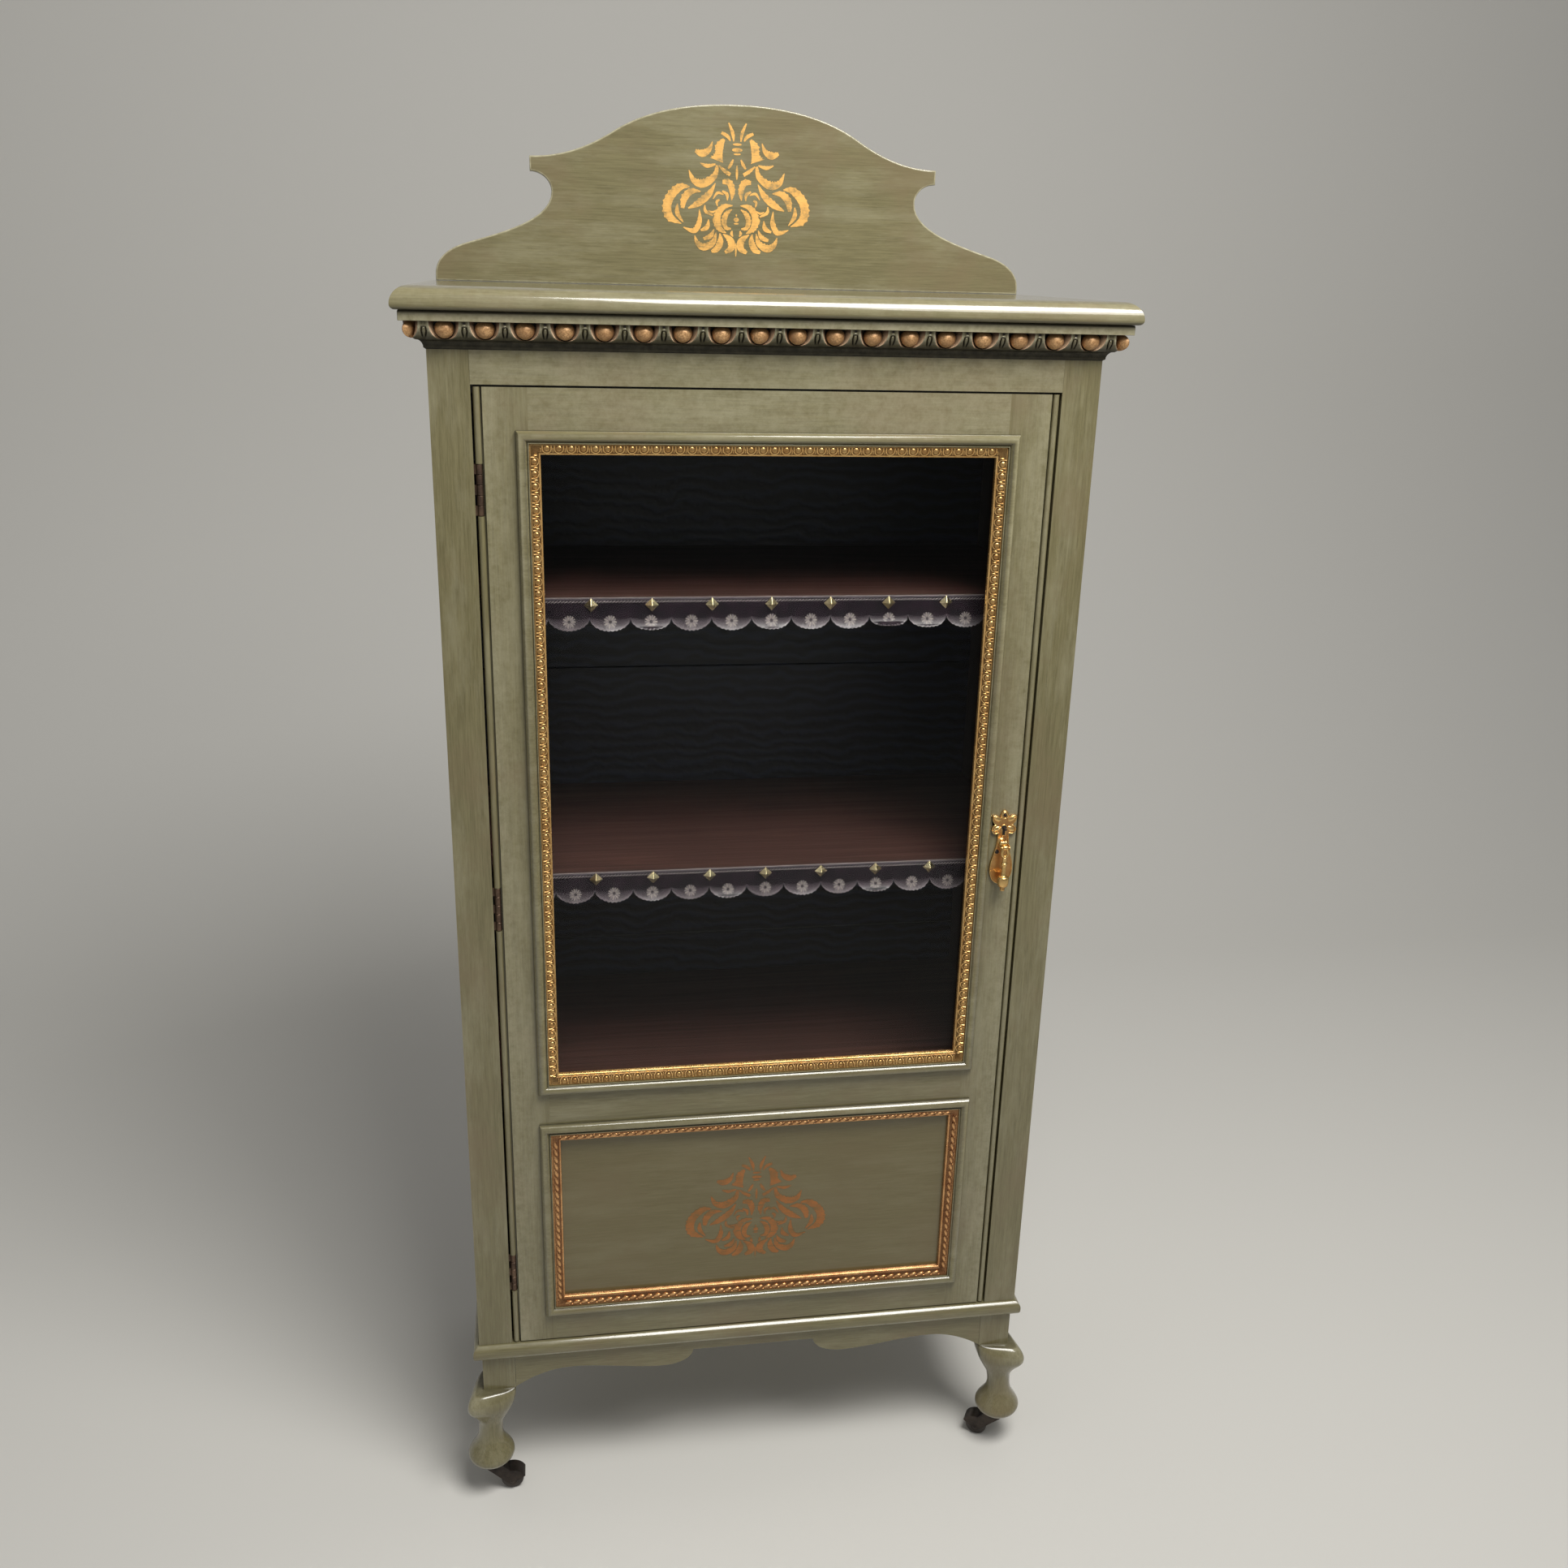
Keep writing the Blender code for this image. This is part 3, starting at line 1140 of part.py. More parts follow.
def fork_pattern(iron):
    """Caster horn: a bored crown, a hood over the wheel, two cheeks, and the axle riveted in them."""
    crown_top = CASTER_HEIGHT - 2 * GAP - CASTER_PLATE_THICKNESS
    crown_low = crown_top - CROWN_THICKNESS
    inner = WHEEL_WIDTH / 2 + CHEEK_CLEARANCE
    outer = inner + CHEEK_THICKNESS
    axle = (CASTER_TRAIL, WHEEL_RADIUS)
    room = WHEEL_RADIUS + WHEEL_ROOM
    hood = room + HOOD_THICKNESS
    side = [(-CROWN_RADIUS, crown_top), (-CROWN_RADIUS, crown_low)]
    side += arc(axle, (AXLE_BOSS_RADIUS, AXLE_BOSS_RADIUS), -135, 0, 4)
    side += arc(axle, (hood, hood), 25, 100, 5) + [(CROWN_RADIUS, crown_top)]
    fork = add_object(
        "caster_fork_pattern", prism([(x, -outer, z) for x, z in side], Vector((0, 2 * outer, 0))), iron,
        smooth=True,
    )
    slot = arc(axle, (room, room), -90, 100, 10)
    slot += [(CROWN_RADIUS - CHEEK_THICKNESS, crown_low)]
    slot += [(-CROWN_RADIUS - OVERRUN, crown_low), (-CROWN_RADIUS - OVERRUN, WHEEL_RADIUS - room)]
    bore = PINTLE_RADIUS + GAP
    cut(
        fork,
        add_object(
            "caster_wheel_slot", prism([(x, -inner, z) for x, z in slot], Vector((0, 2 * inner, 0))), iron,
        ),
        turned_object(
            "caster_fork_bore",
            [
                (0, crown_low - OVERRUN), (bore, crown_low - OVERRUN), (bore, crown_top + OVERRUN),
                (0, crown_top + OVERRUN),
            ],
            (0, 0, 0), (0, 0, 1), TURNED_SIDES, iron,
        ),
    )
    reach = outer + GAP * 2
    join(fork, turned_object(
        "caster_axle", [(0, -reach), (AXLE_RADIUS, -reach), (AXLE_RADIUS, reach), (0, reach)],
        (CASTER_TRAIL, 0, WHEEL_RADIUS), (0, 1, 0), TURNED_SIDES, iron,
    ))
    return fork


def casters(iron, rubber):
    """A pintle plate under each foot, a swivelling fork, and a wheel on the fork's axle."""
    plate_top = CASTER_HEIGHT - GAP
    plate_low = plate_top - CASTER_PLATE_THICKNESS
    head_top = plate_low - 2 * GAP - CROWN_THICKNESS
    head_low = head_top - PINTLE_HEAD_HEIGHT
    socket_profile = [
        (0, plate_top), (CASTER_PLATE_RADIUS, plate_top), (CASTER_PLATE_RADIUS, plate_low),
        (PINTLE_RADIUS, plate_low), (PINTLE_RADIUS, head_top), (PINTLE_HEAD_RADIUS, head_top),
        (PINTLE_HEAD_RADIUS * PINTLE_HEAD_TAPER_SHARE, head_low), (0, head_low),
    ]
    socket_mesh = baked_mesh(turned_object(
        "caster_plate_pattern", socket_profile, (0, 0, 0), (0, 0, 1), TURNED_SIDES, iron,
    ))
    fork_mesh = baked_mesh(fork_pattern(iron))

    # Flats, not corners, touch the floor, so the corners lie a little further out than the radius
    rim = WHEEL_RADIUS / math.cos(math.pi / WHEEL_SIDES)
    half = WHEEL_WIDTH / 2
    bore = AXLE_RADIUS + GAP
    hub = half - WHEEL_ROUND / 2
    wheel_profile = [
        (bore, -half), (WHEEL_HUB_RADIUS, -half), (WHEEL_HUB_RADIUS + WHEEL_ROUND, -hub),
        (rim - WHEEL_ROUND, -hub), (rim, -hub + WHEEL_ROUND), (rim, hub - WHEEL_ROUND),
        (rim - WHEEL_ROUND, hub), (WHEEL_HUB_RADIUS + WHEEL_ROUND, hub), (WHEEL_HUB_RADIUS, half),
        (bore, half),
    ]
    wheel = turned_object(
        "caster_wheel_pattern", wheel_profile, (0, 0, 0), (0, 1, 0), WHEEL_SIDES, rubber, closed=True,
        start=math.pi / WHEEL_SIDES,
    )
    wheel_mesh = baked_mesh(wheel)

    for word, centre, quarter in leg_centres():
        front = centre.y < FACE_Y + CARCASS_DEPTH / 2
        out_x = math.copysign(FOOT_SHIFT, centre.x)
        foot = centre + Vector((out_x, -FOOT_SHIFT if front else FOOT_SHIFT, 0))
        heading = math.radians(CASTER_HEADINGS[word])
        place(f"caster_plate_{word}", socket_mesh, foot)
        swivel = pivot(f"caster_swivel_{word}", foot)
        fork = place(f"caster_fork_{word}", fork_mesh, foot, heading)
        carry(swivel, fork)
        axle = foot + Matrix.Rotation(heading, 3, "Z") @ Vector((CASTER_TRAIL, 0, WHEEL_RADIUS))
        wheel = place(f"caster_wheel_{word}", wheel_mesh, axle, heading)
        carry(swivel, wheel)


def build():
    clear_scene()
    paint = principled("sage_paint", (0.235, 0.222, 0.140), 0.42)
    gilt = principled("gilt", (0.60, 0.36, 0.13), 0.35, metallic=0.6)
    dark_wood = principled("mahogany", (0.075, 0.030, 0.020), 0.4)
    raw_wood = principled("stained_softwood", (0.022, 0.018, 0.018), 0.6)
    leather = principled("leather", (0.060, 0.045, 0.045), 0.5)
    brass = principled("brass", (0.72, 0.47, 0.20), 0.3, metallic=1.0)
    iron = principled("aged_metal", (0.16, 0.11, 0.08), 0.5, metallic=0.8)
    rubber = principled("caster_wheel", (0.03, 0.026, 0.024), 0.45)
    glass = principled("glass", (0.85, 0.88, 0.87), 0.03, transmission=1.0)

    face_stiles = carcass(paint, dark_wood, raw_wood)
    top_and_upstand(paint)
    cornice(paint)
    aprons(paint)
    legs(paint)
    casters(iron, rubber)
    dust_edging("upper", UPPER_SHELF_HEIGHT, leather)
    dust_edging("middle", MIDDLE_SHELF_HEIGHT, leather)

    stiles, frame_pieces = door_frame(paint)
    mouldings = door_mouldings(paint, gilt, glass, dark_wood)
    door_leaves = hinges(iron, stiles[0], face_stiles[0])
    plate, drop, keyhole = handle(brass, stiles[1])
    case, bolt = lock(brass, iron, stiles[1], face_stiles[1], keyhole)

    door = pivot("door_pivot", (HINGE_X, HINGE_Y, BASE_TOP_Z))
    carry(door, *stiles, *frame_pieces, *mouldings, *door_leaves, plate, case)
    carry(pivot("drop_pivot", DROP_PIVOT, door), drop)
    carry(door, bolt)


build()
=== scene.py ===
"""Looks of the glazed cabinet: brushed paint, carving, gilding, leather edgings, brass and glass.

Metres, in the frame of the CAD model. Sizes that repeat the model's own are read from its nodes.
"""

import math
import random

import bmesh
import bpy
from mathutils import Matrix, Vector
from mathutils.geometry import interpolate_bezier


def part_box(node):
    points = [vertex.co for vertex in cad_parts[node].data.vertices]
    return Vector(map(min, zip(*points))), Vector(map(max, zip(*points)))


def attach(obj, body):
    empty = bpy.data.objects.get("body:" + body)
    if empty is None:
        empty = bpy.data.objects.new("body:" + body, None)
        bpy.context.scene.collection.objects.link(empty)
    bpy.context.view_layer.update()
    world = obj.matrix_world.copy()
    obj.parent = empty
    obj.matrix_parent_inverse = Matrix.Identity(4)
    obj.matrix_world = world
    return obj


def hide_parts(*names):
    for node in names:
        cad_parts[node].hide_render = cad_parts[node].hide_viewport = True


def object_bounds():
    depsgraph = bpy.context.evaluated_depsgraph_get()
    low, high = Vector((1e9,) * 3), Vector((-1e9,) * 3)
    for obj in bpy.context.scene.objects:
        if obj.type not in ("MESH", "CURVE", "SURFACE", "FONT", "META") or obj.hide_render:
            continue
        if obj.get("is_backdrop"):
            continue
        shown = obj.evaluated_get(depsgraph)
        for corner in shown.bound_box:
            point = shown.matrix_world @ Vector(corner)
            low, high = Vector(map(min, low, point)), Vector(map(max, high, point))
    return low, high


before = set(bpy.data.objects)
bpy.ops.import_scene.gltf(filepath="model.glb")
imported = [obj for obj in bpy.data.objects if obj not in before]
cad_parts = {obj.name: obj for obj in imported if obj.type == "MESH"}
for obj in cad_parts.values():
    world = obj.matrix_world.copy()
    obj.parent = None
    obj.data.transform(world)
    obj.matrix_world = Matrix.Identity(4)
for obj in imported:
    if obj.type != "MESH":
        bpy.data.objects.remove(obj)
CAD_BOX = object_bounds()

MM = 0.001
GAP = 0.3 * MM  # clearance between neighbouring pieces
SKIN = 0.15 * MM  # the smallest step, such as a stencil's before its board
X, Y, Z = Vector((1, 0, 0)), Vector((0, 1, 0)), Vector((0, 0, 1))


def low(node):
    return Vector(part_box(node)[0])


def high(node):
    return Vector(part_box(node)[1])


# Sizes of the door and the carcass
BEAD = 3.3 * MM  # radius of the bead on the door's edges
QUIRK_INSET = 8.1 * MM  # from the door's edge to the far side of the groove beside its bead
RAIL_HEIGHT = 65.5 * MM
SIDE_THICKNESS = 15.5 * MM
BACK_REBATE = 8 * MM
STOP_DROP = 9.5 * MM  # how far the door's stop hangs below the rail's front
BOLT_THROW = 8 * MM

# Places read from the CAD nodes
FACE_Y = low("face_stile_left").y
BACK_Y = high("side_panel_left").y
HALF_WIDTH = high("face_stile_right").x
HALF_OPENING = low("face_stile_right").x
FRAME_BACK_Y = high("face_stile_left").y
BASE_FOOT_Z = low("base_board").z
BASE_TOP_Z = high("base_board").z
TOP_FOOT_Z = low("top_board").z
TOP_Z = high("top_board").z
OPENING_TOP_Z = TOP_FOOT_Z - RAIL_HEIGHT
HALF_DOOR = high("door_stile_right").x
DOOR_FOOT_Z = low("door_stile_right").z
DOOR_TOP_Z = high("door_stile_right").z
DOOR_BACK_Y = high("door_stile_right").y
HALF_SIGHT = high("glass_slip").x + GAP
GLASS_LOW_Z = low("glass_slip").z - GAP
GLASS_HIGH_Z = high("glass_slip").z + GAP
PANEL_LOW_Z = low("panel_slip").z - GAP
PANEL_HIGH_Z = high("panel_slip").z + GAP
PANEL_Y = low("door_panel").y
HINGE_X = -HALF_DOOR + BEAD
HINGE_Y = FACE_Y + BEAD
QUIRK_X = HALF_DOOR - QUIRK_INSET
INSIDE_HALF_WIDTH = HALF_WIDTH - SIDE_THICKNESS


# Geometry

def turns(count):
    """The angles that divide a circle equally."""
    return [math.tau * i / count for i in range(count)]


class Shape:
    """The points, faces, tones and material numbers of one piece while it is built.

    A tone above 0 lightens, for rubbed wear and painted highlights; one below 0 darkens, for grime and
    painted shade. Points are in metres. Radii, half axes and lathe profiles are in millimetres.
    """

    def __init__(self):
        self.points = []
        self.faces = []
        self.tones = []
        self.slots = []

    def add(self, points, faces, tones=0.0, slot=0):
        start = len(self.points)
        self.points += [tuple(point) for point in points]
        self.tones += list(tones) if hasattr(tones, "__len__") else [tones] * len(points)
        self.faces += [[start + i for i in face] for face in faces]
        self.slots += [slot] * len(faces)

    def skin(self, rings, tones=0.0, slot=0, closed=True, looped=False, caps=True):
        """Skin rings of equal length; tones is one number, or a list for one ring or for all of them."""
        size = len(rings[0])
        if hasattr(tones, "__len__") and len(tones) == size:
            tones = list(tones) * len(rings)
        faces = []
        pairs = [(i, i + 1) for i in range(len(rings) - 1)]
        if looped:
            pairs.append((len(rings) - 1, 0))
        for a, b in pairs:
            for i in range(size if closed else size - 1):
                j = (i + 1) % size
                faces.append((a * size + i, a * size + j, b * size + j, b * size + i))
        if caps and closed and not looped:
            faces.append(tuple(range(size)))
            faces.append(tuple((len(rings) - 1) * size + i for i in range(size)))
        self.add([point for ring in rings for point in ring], faces, tones, slot)

    def box(self, corner, opposite, tones=0.0):
        (x0, y0, z0), (x1, y1, z1) = corner, opposite
        self.skin([[(x0, y0, z), (x1, y0, z), (x1, y1, z), (x0, y1, z)] for z in (z0, z1)], tones)

    def prism(self, outline, direction):
        """Extrude a flat outline of 3-D points by a vector."""
        self.skin([outline, [Vector(point) + direction for point in outline]])

    def ellipsoid(self, centre, axes, tones=0.0, slot=0, segments=12, rings=8):
        """axes are three half axes; the poles lie along the last."""
        a, b, c = [axis * MM for axis in axes]
        loops = []
        for i in range(rings + 1):
            tilt = math.pi * i / rings
            across = max(math.sin(tilt), 0.02)
            loops.append([
                centre + (a * math.cos(turn) + b * math.sin(turn)) * across + c * math.cos(tilt)
                for turn in turns(segments)
            ])
        self.skin(loops, tones, slot)

    def tube(self, path, radius, tones=0.0, sides=8, looped=False):
        """A round bar along a path that runs in x and z; radius may be a function of the share of it."""
        up = Vector((0, -1, 0))
        count = len(path)
        rings = []
        for i, point in enumerate(path):
            before = path[i - 1] if i or looped else path[0]
            after = path[(i + 1) % count] if i < count - 1 or looped else path[-1]
            side = (Vector(after) - Vector(before)).cross(up).normalized()
            size = (radius(i / (count - 1)) if callable(radius) else radius) * MM
            rings.append([
                Vector(point) + side * (size * math.cos(turn)) + up * (size * math.sin(turn))
                for turn in turns(sides)
            ])
        self.skin(rings, tones, looped=looped)

    def lathe(self, profile, centre, axis, sides, slot=0, looped=False):
        """Spin (radius, distance along axis) points."""
        side = axis.orthogonal().normalized()
        other = axis.cross(side)
        rings = []
        for radius, along in profile:
            radius = max(radius, 0.01) * MM
            rings.append([
                Vector(centre) + axis * (along * MM)
                + (side * math.cos(turn) + other * math.sin(turn)) * radius
                for turn in turns(sides)
            ])
        self.skin(rings, slot=slot, looped=looped)


def to_object(name, shape, materials, smooth=True, sharp=35):
    """Make a mesh object, with its faces pointing out and its tones as a point attribute."""
    mesh = bpy.data.meshes.new(name)
    mesh.from_pydata(shape.points, [], shape.faces)
    for material in materials:
        mesh.materials.append(material)
    mesh.polygons.foreach_set("material_index", shape.slots)
    tones = mesh.attributes.new("tone", "FLOAT", "POINT")
    tones.data.foreach_set("value", shape.tones)
    bm = bmesh.new()
    bm.from_mesh(mesh)
    bmesh.ops.recalc_face_normals(bm, faces=bm.faces)
    caps = [face for face in bm.faces if len(face.verts) > 4]
    bmesh.ops.triangulate(bm, faces=caps, ngon_method="EAR_CLIP")
    bm.to_mesh(mesh)
    bm.free()
    if smooth:
        mesh.shade_smooth()
        mesh.set_sharp_from_angle(angle=math.radians(sharp))
    obj = bpy.data.objects.new(name, mesh)
    bpy.context.collection.objects.link(obj)
    return obj


def piece(name, shape, materials, body, replaces=(), soften=0, sharp=35):
    """A piece that rides on a body; soften rounds its sharp edges by that much."""
    obj = to_object(name, shape, materials, sharp=sharp)
    if soften:
        round_edges(obj, soften)
    dress(obj, body, replaces)
    return obj


def dress(obj, body, replaces=()):
    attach(obj, body)
    if replaces:
        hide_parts(*replaces)


def painted_piece(node, shape, paint, body="carcass", soften=0, sharp=35):
    piece(f"{node}_painted", shape, [paint], body, [node], soften, sharp)


def round_edges(obj, width):
    bevel = obj.modifiers.new("round_edges", "BEVEL")
    bevel.width = width
    bevel.segments = 2
    bevel.limit_method = "ANGLE"
    bevel.angle_limit = math.radians(40)
    bevel.harden_normals = True


def carved(obj, cutter):
    """Cut obj with another shape, and apply the cut."""
    tool = to_object(f"{obj.name}_cutter", cutter, [obj.data.materials[0]], smooth=False)
    boolean = obj.modifiers.new("cut", "BOOLEAN")
    boolean.operation = "DIFFERENCE"
    boolean.solver = "EXACT"
    boolean.object = tool
    bpy.context.view_layer.update()
    mesh = bpy.data.meshes.new_from_object(obj.evaluated_get(bpy.context.evaluated_depsgraph_get()))
    obj.modifiers.clear()
    obj.data = mesh
    mesh.set_sharp_from_angle(angle=math.radians(35))
    bpy.data.objects.remove(tool)


def arc(centre, radii, start, end, steps):
    """Points on an ellipse from one angle to another, in degrees, both ends included."""
    angles = [math.radians(start + (end - start) * i / steps) for i in range(steps + 1)]
    return [(centre[0] + radii[0] * math.cos(a), centre[1] + radii[1] * math.sin(a)) for a in angles]


def curve(controls, steps):
    """Points along a smooth curve through a few points of any dimension."""
    ends = [controls[0]] + list(controls) + [controls[-1]]
    points = []
    for i in range(1, len(ends) - 2):
        a, b, c, d = ends[i - 1:i + 3]
        for k in range(steps):
            t = k / steps
            points.append(tuple(
                0.5 * (2 * q + (r - p) * t + (2 * p - 5 * q + 4 * r - s) * t * t
                       + (3 * q - p - 3 * r + s) * t ** 3)
                for p, q, r, s in zip(a, b, c, d)
            ))
    points.append(tuple(controls[-1]))
    return points


def bezier_chain(chain, width, height, steps):
    """Points along cubic curves whose controls are shares of a width and a height, less doubled ones."""
    points = []
    for controls in chain:
        ends = [Vector((u * width, v * height, 0)) for u, v in controls]
        for p in interpolate_bezier(*ends, steps + 1):
            if not points or math.dist((p.x, p.y), points[-1]) > 0.02 * MM:
                points.append((p.x, p.y))
    return points


def mirrored(half):
    """A whole outline from its right half, listed from the bottom to the top."""
    return half + [(-u, v) for u, v in reversed(half) if u > 0.01 * MM]


def shrunk(outline, inset):
    """Move each point of a counterclockwise outline inward."""
    points = []
    for i, (u, v) in enumerate(outline):
        before, after = outline[i - 1], outline[(i + 1) % len(outline)]
        a = Vector((u - before[0], v - before[1])).normalized()
        b = Vector((after[0] - u, after[1] - v)).normalized()
        normal = Vector((-(a.y + b.y), a.x + b.x))
        normal = normal / max(normal.length_squared / 2, 0.5)
        points.append((u + normal.x * inset, v + normal.y * inset))
    return points


def between(value, table):
    """Look up a value in a table of (key, result), on straight lines."""
    if value <= table[0][0]:
        return table[0][1]
    for (a, p), (b, q) in zip(table, table[1:]):
        if value <= b:
            return p + (q - p) * (value - a) / (b - a)
    return table[-1][1]


# Materials

class Paintbox:
    """Builds one node material with a Principled shader."""

    def __init__(self, name, roughness=0.5, metallic=0.0, specular=0.5):
        self.material = bpy.data.materials.new(name)
        self.material.use_nodes = True
        self.tree = self.material.node_tree
        self.shader = self.tree.nodes["Principled BSDF"]
        self.shader.inputs["Roughness"].default_value = roughness
        self.shader.inputs["Metallic"].default_value = metallic
        self.shader.inputs["Specular IOR Level"].default_value = specular
        self.place = self.node("ShaderNodeTexCoord").outputs["Object"]

    def node(self, kind, settings=(), **inputs):
        made = self.tree.nodes.new(kind)
        for key, value in dict(settings).items():
            setattr(made, key, value)
        for key, value in inputs.items():
            self.put(made.inputs[key.replace("_", " ")], value)
        return made

    def put(self, socket, value):
        if isinstance(value, bpy.types.NodeSocket):
            self.tree.links.new(value, socket)
        elif hasattr(value, "__len__") and len(value) == 3 and socket.type == "RGBA":
            socket.default_value = (*value, 1.0)
        else:
            socket.default_value = value

    def noise(self, scale, detail=4.0, roughness=0.6, distortion=0.0):
        """Noise from 0 to 1; scale is one number, or one per axis, in cycles a metre."""
        scales = scale if hasattr(scale, "__len__") else (scale, scale, scale)
        mapped = self.node("ShaderNodeMapping", Vector=self.place, Scale=scales).outputs["Vector"]
        return self.node(
            "ShaderNodeTexNoise", Vector=mapped, Scale=1.0, Detail=detail, Roughness=roughness,
            Distortion=distortion,
        ).outputs["Fac"]

    def span(self, value, start, end, low_value=0.0, high_value=1.0):
        made = self.node("ShaderNodeMapRange", {"clamp": True})
        for index, item in enumerate((value, start, end, low_value, high_value)):
            self.put(made.inputs[index], item)
        return made.outputs[0]

    def maths(self, operation, a, b):
        made = self.node("ShaderNodeMath", {"operation": operation, "use_clamp": True})
        self.put(made.inputs[0], a)
        self.put(made.inputs[1], b)
        return made.outputs[0]

    def mix(self, factor, a, b):
        made = self.node("ShaderNodeMix", {"data_type": "RGBA"})
        self.put(made.inputs[0], factor)
        self.put(made.inputs[6], a)
        self.put(made.inputs[7], b)
        return made.outputs[2]

    def tone(self):
        return self.node("ShaderNodeAttribute", {"attribute_name": "tone"}).outputs["Fac"]

    def bump(self, height, strength, distance):
        normal = self.node("ShaderNodeBump", Height=height, Strength=strength, Distance=distance)
        self.put(self.shader.inputs["Normal"], normal.outputs["Normal"])

    def done(self, colour, roughness=None):
        self.put(self.shader.inputs["Base Color"], colour)
        if roughness is not None:
            self.put(self.shader.inputs["Roughness"], roughness)
        return self.material


def streak_scale(along, across, fine):
    """Cycles a metre on each axis for streaks that run along one of them."""
    return tuple(along if axis == across else fine for axis in "xyz")


PAINT_DARK = (0.108, 0.094, 0.044)
PAINT_MIDDLE = (0.180, 0.160, 0.082)
PAINT_LIGHT = (0.275, 0.255, 0.165)
PAINT_BROWN = (0.162, 0.124, 0.068)
PAINT_AGED = (0.105, 0.080, 0.026)
# High tones mix in a lighter paint, for rubbed wear and painted highlights; low tones a near black, for grime
# and painted shade
PAINT_WEAR_AND_HIGHLIGHT = (0.42, 0.395, 0.275)
GRIME_AND_SHADE = (0.008, 0.007, 0.005)
STAIN = ((0.012, 0.006, 0.005), (0.034, 0.016, 0.012))
BARE_WOOD = ((0.075, 0.040, 0.021), (0.165, 0.098, 0.053))
PANEL_AGE = 0.6


def paint_colour(box, along, aged):
    """The brushed paint's colour, and its streaks, which also make its relief and its sheen."""
    streak = box.noise(streak_scale(24, along, 620), 6.0, 0.75)
    broad = box.noise(streak_scale(7, along, 38), 6.0, 0.72)
    cloud = box.noise(9.0, 5.0, 0.68)
    base = box.mix(box.span(streak, 0.30, 0.64), PAINT_DARK, PAINT_MIDDLE)
    base = box.mix(box.span(broad, 0.47, 0.70, 0.0, 0.50), base, PAINT_LIGHT)
    base = box.mix(box.span(cloud, 0.47, 0.66, 0.0, 0.55), base, PAINT_BROWN)
    if aged:
        base = box.mix(aged, base, PAINT_AGED)
    return base, streak


def inside_cabinet(box):
    """1 on what faces the inside of the carcass, which is stained and not painted."""
    split = box.node("ShaderNodeSeparateXYZ", Vector=box.place).outputs
    sides = box.node("ShaderNodeMath", {"operation": "ABSOLUTE"})
    box.put(sides.inputs[0], split["X"])
    within = box.maths("LESS_THAN", sides.outputs[0], INSIDE_HALF_WIDTH)
    for operation, socket, limit in (
        ("GREATER_THAN", split["Y"], DOOR_BACK_Y + MM), ("LESS_THAN", split["Y"], BACK_Y - BACK_REBATE),
        ("GREATER_THAN", split["Z"], BASE_TOP_Z - SKIN), ("LESS_THAN", split["Z"], TOP_FOOT_Z + SKIN),
    ):
        within = box.maths("MULTIPLY", within, box.maths(operation, socket, limit))
    return within


def painted(name, along, aged=0.0):
    """Sage paint brushed along an axis, lighter on high tones, for rubbed arrises and painted highlights, and
    darker on low ones, for grime and painted shade in the hollows.
    """
    box = Paintbox(name, specular=0.15)
    base, streak = paint_colour(box, along, aged)
    tone = box.tone()
    break_up = box.noise(140.0, 4.0, 0.7)
    # Painted highlight and rubbed wear where the tone is above 0
    wear_and_highlight = box.maths("MULTIPLY", box.span(tone, 0.0, 1.0), box.span(break_up, 0.30, 0.62, 0.25, 1.0))
    base = box.mix(wear_and_highlight, base, PAINT_WEAR_AND_HIGHLIGHT)
    # Painted shade and grime where the tone is below 0
    grime_and_shade = box.maths("MULTIPLY", box.span(tone, 0.0, -1.0), box.span(break_up, 0.25, 0.60, 0.80, 1.0))
    base = box.mix(grime_and_shade, base, GRIME_AND_SHADE)
    stain = box.mix(box.span(streak, 0.3, 0.7), *STAIN)
    base = box.mix(inside_cabinet(box), base, stain)
    box.bump(streak, 0.10, 0.4 * MM)
    clean = box.span(grime_and_shade, 0.0, 1.0, 1.0, 0.1)
    box.put(box.shader.inputs["Coat Weight"], clean)
    box.shader.inputs["Coat Roughness"].default_value = 0.10
    sheen = box.span(streak, 0.30, 0.70, 0.40, 0.27)
    return box.done(base, box.maths("ADD", sheen, box.maths("MULTIPLY", grime_and_shade, 0.4)))


def gilded(name, bright, dull, dark, metallic, roughness, stipple=0.12):
    """Gilding whose high parts are brighter, partly a painted highlight, and whose hollows are darker, partly
    painted shade.
    """
    box = Paintbox(name, metallic=metallic)
    cloud = box.noise(60.0, 4.0, 0.7)
    grain = box.noise(700.0, 3.0, 0.6)
    base = box.mix(box.span(cloud, 0.38, 0.62), dull, bright)
    tone = box.tone()
    # A brighter copy of the gold on high tones, a painted highlight; the dark colour on low tones, partly
    # painted shade
    base = box.mix(box.span(tone, 0.0, 1.0, 0.0, 0.9), base, tuple(min(1, 1.35 * c) for c in bright))
    base = box.mix(box.span(tone, 0.0, -1.0, 0.0, 0.95), base, dark)
    base = box.mix(box.span(grain, 0.40, 0.62, 2.5 * stipple, 0.0), base, dull)
    box.bump(grain, stipple, 0.3 * MM)
    return box.done(base, box.span(grain, 0.35, 0.65, roughness - 0.05, roughness + 0.08))


def stencilled(name, along, ink, cover, aged=0.0):
    """A stencil's ink brushed over the paint, so that the paint shows through its streaks."""
    box = Paintbox(name, roughness=0.42, specular=0.3)
    base = paint_colour(box, along, aged)[0]
    brushing = box.noise(streak_scale(110, along, 900), 5.0, 0.75)
    cloud = box.noise(60.0, 5.0, 0.7)
    streaks = box.span(brushing, 0.33, 0.50, -0.40, 0.25)
    worn = box.maths("ADD", streaks, box.span(cloud, 0.28, 0.50, 0.0, cover))
    rich = box.mix(box.span(cloud, 0.35, 0.65), tuple(0.72 * c for c in ink), ink)
    return box.done(box.mix(worn, base, rich))


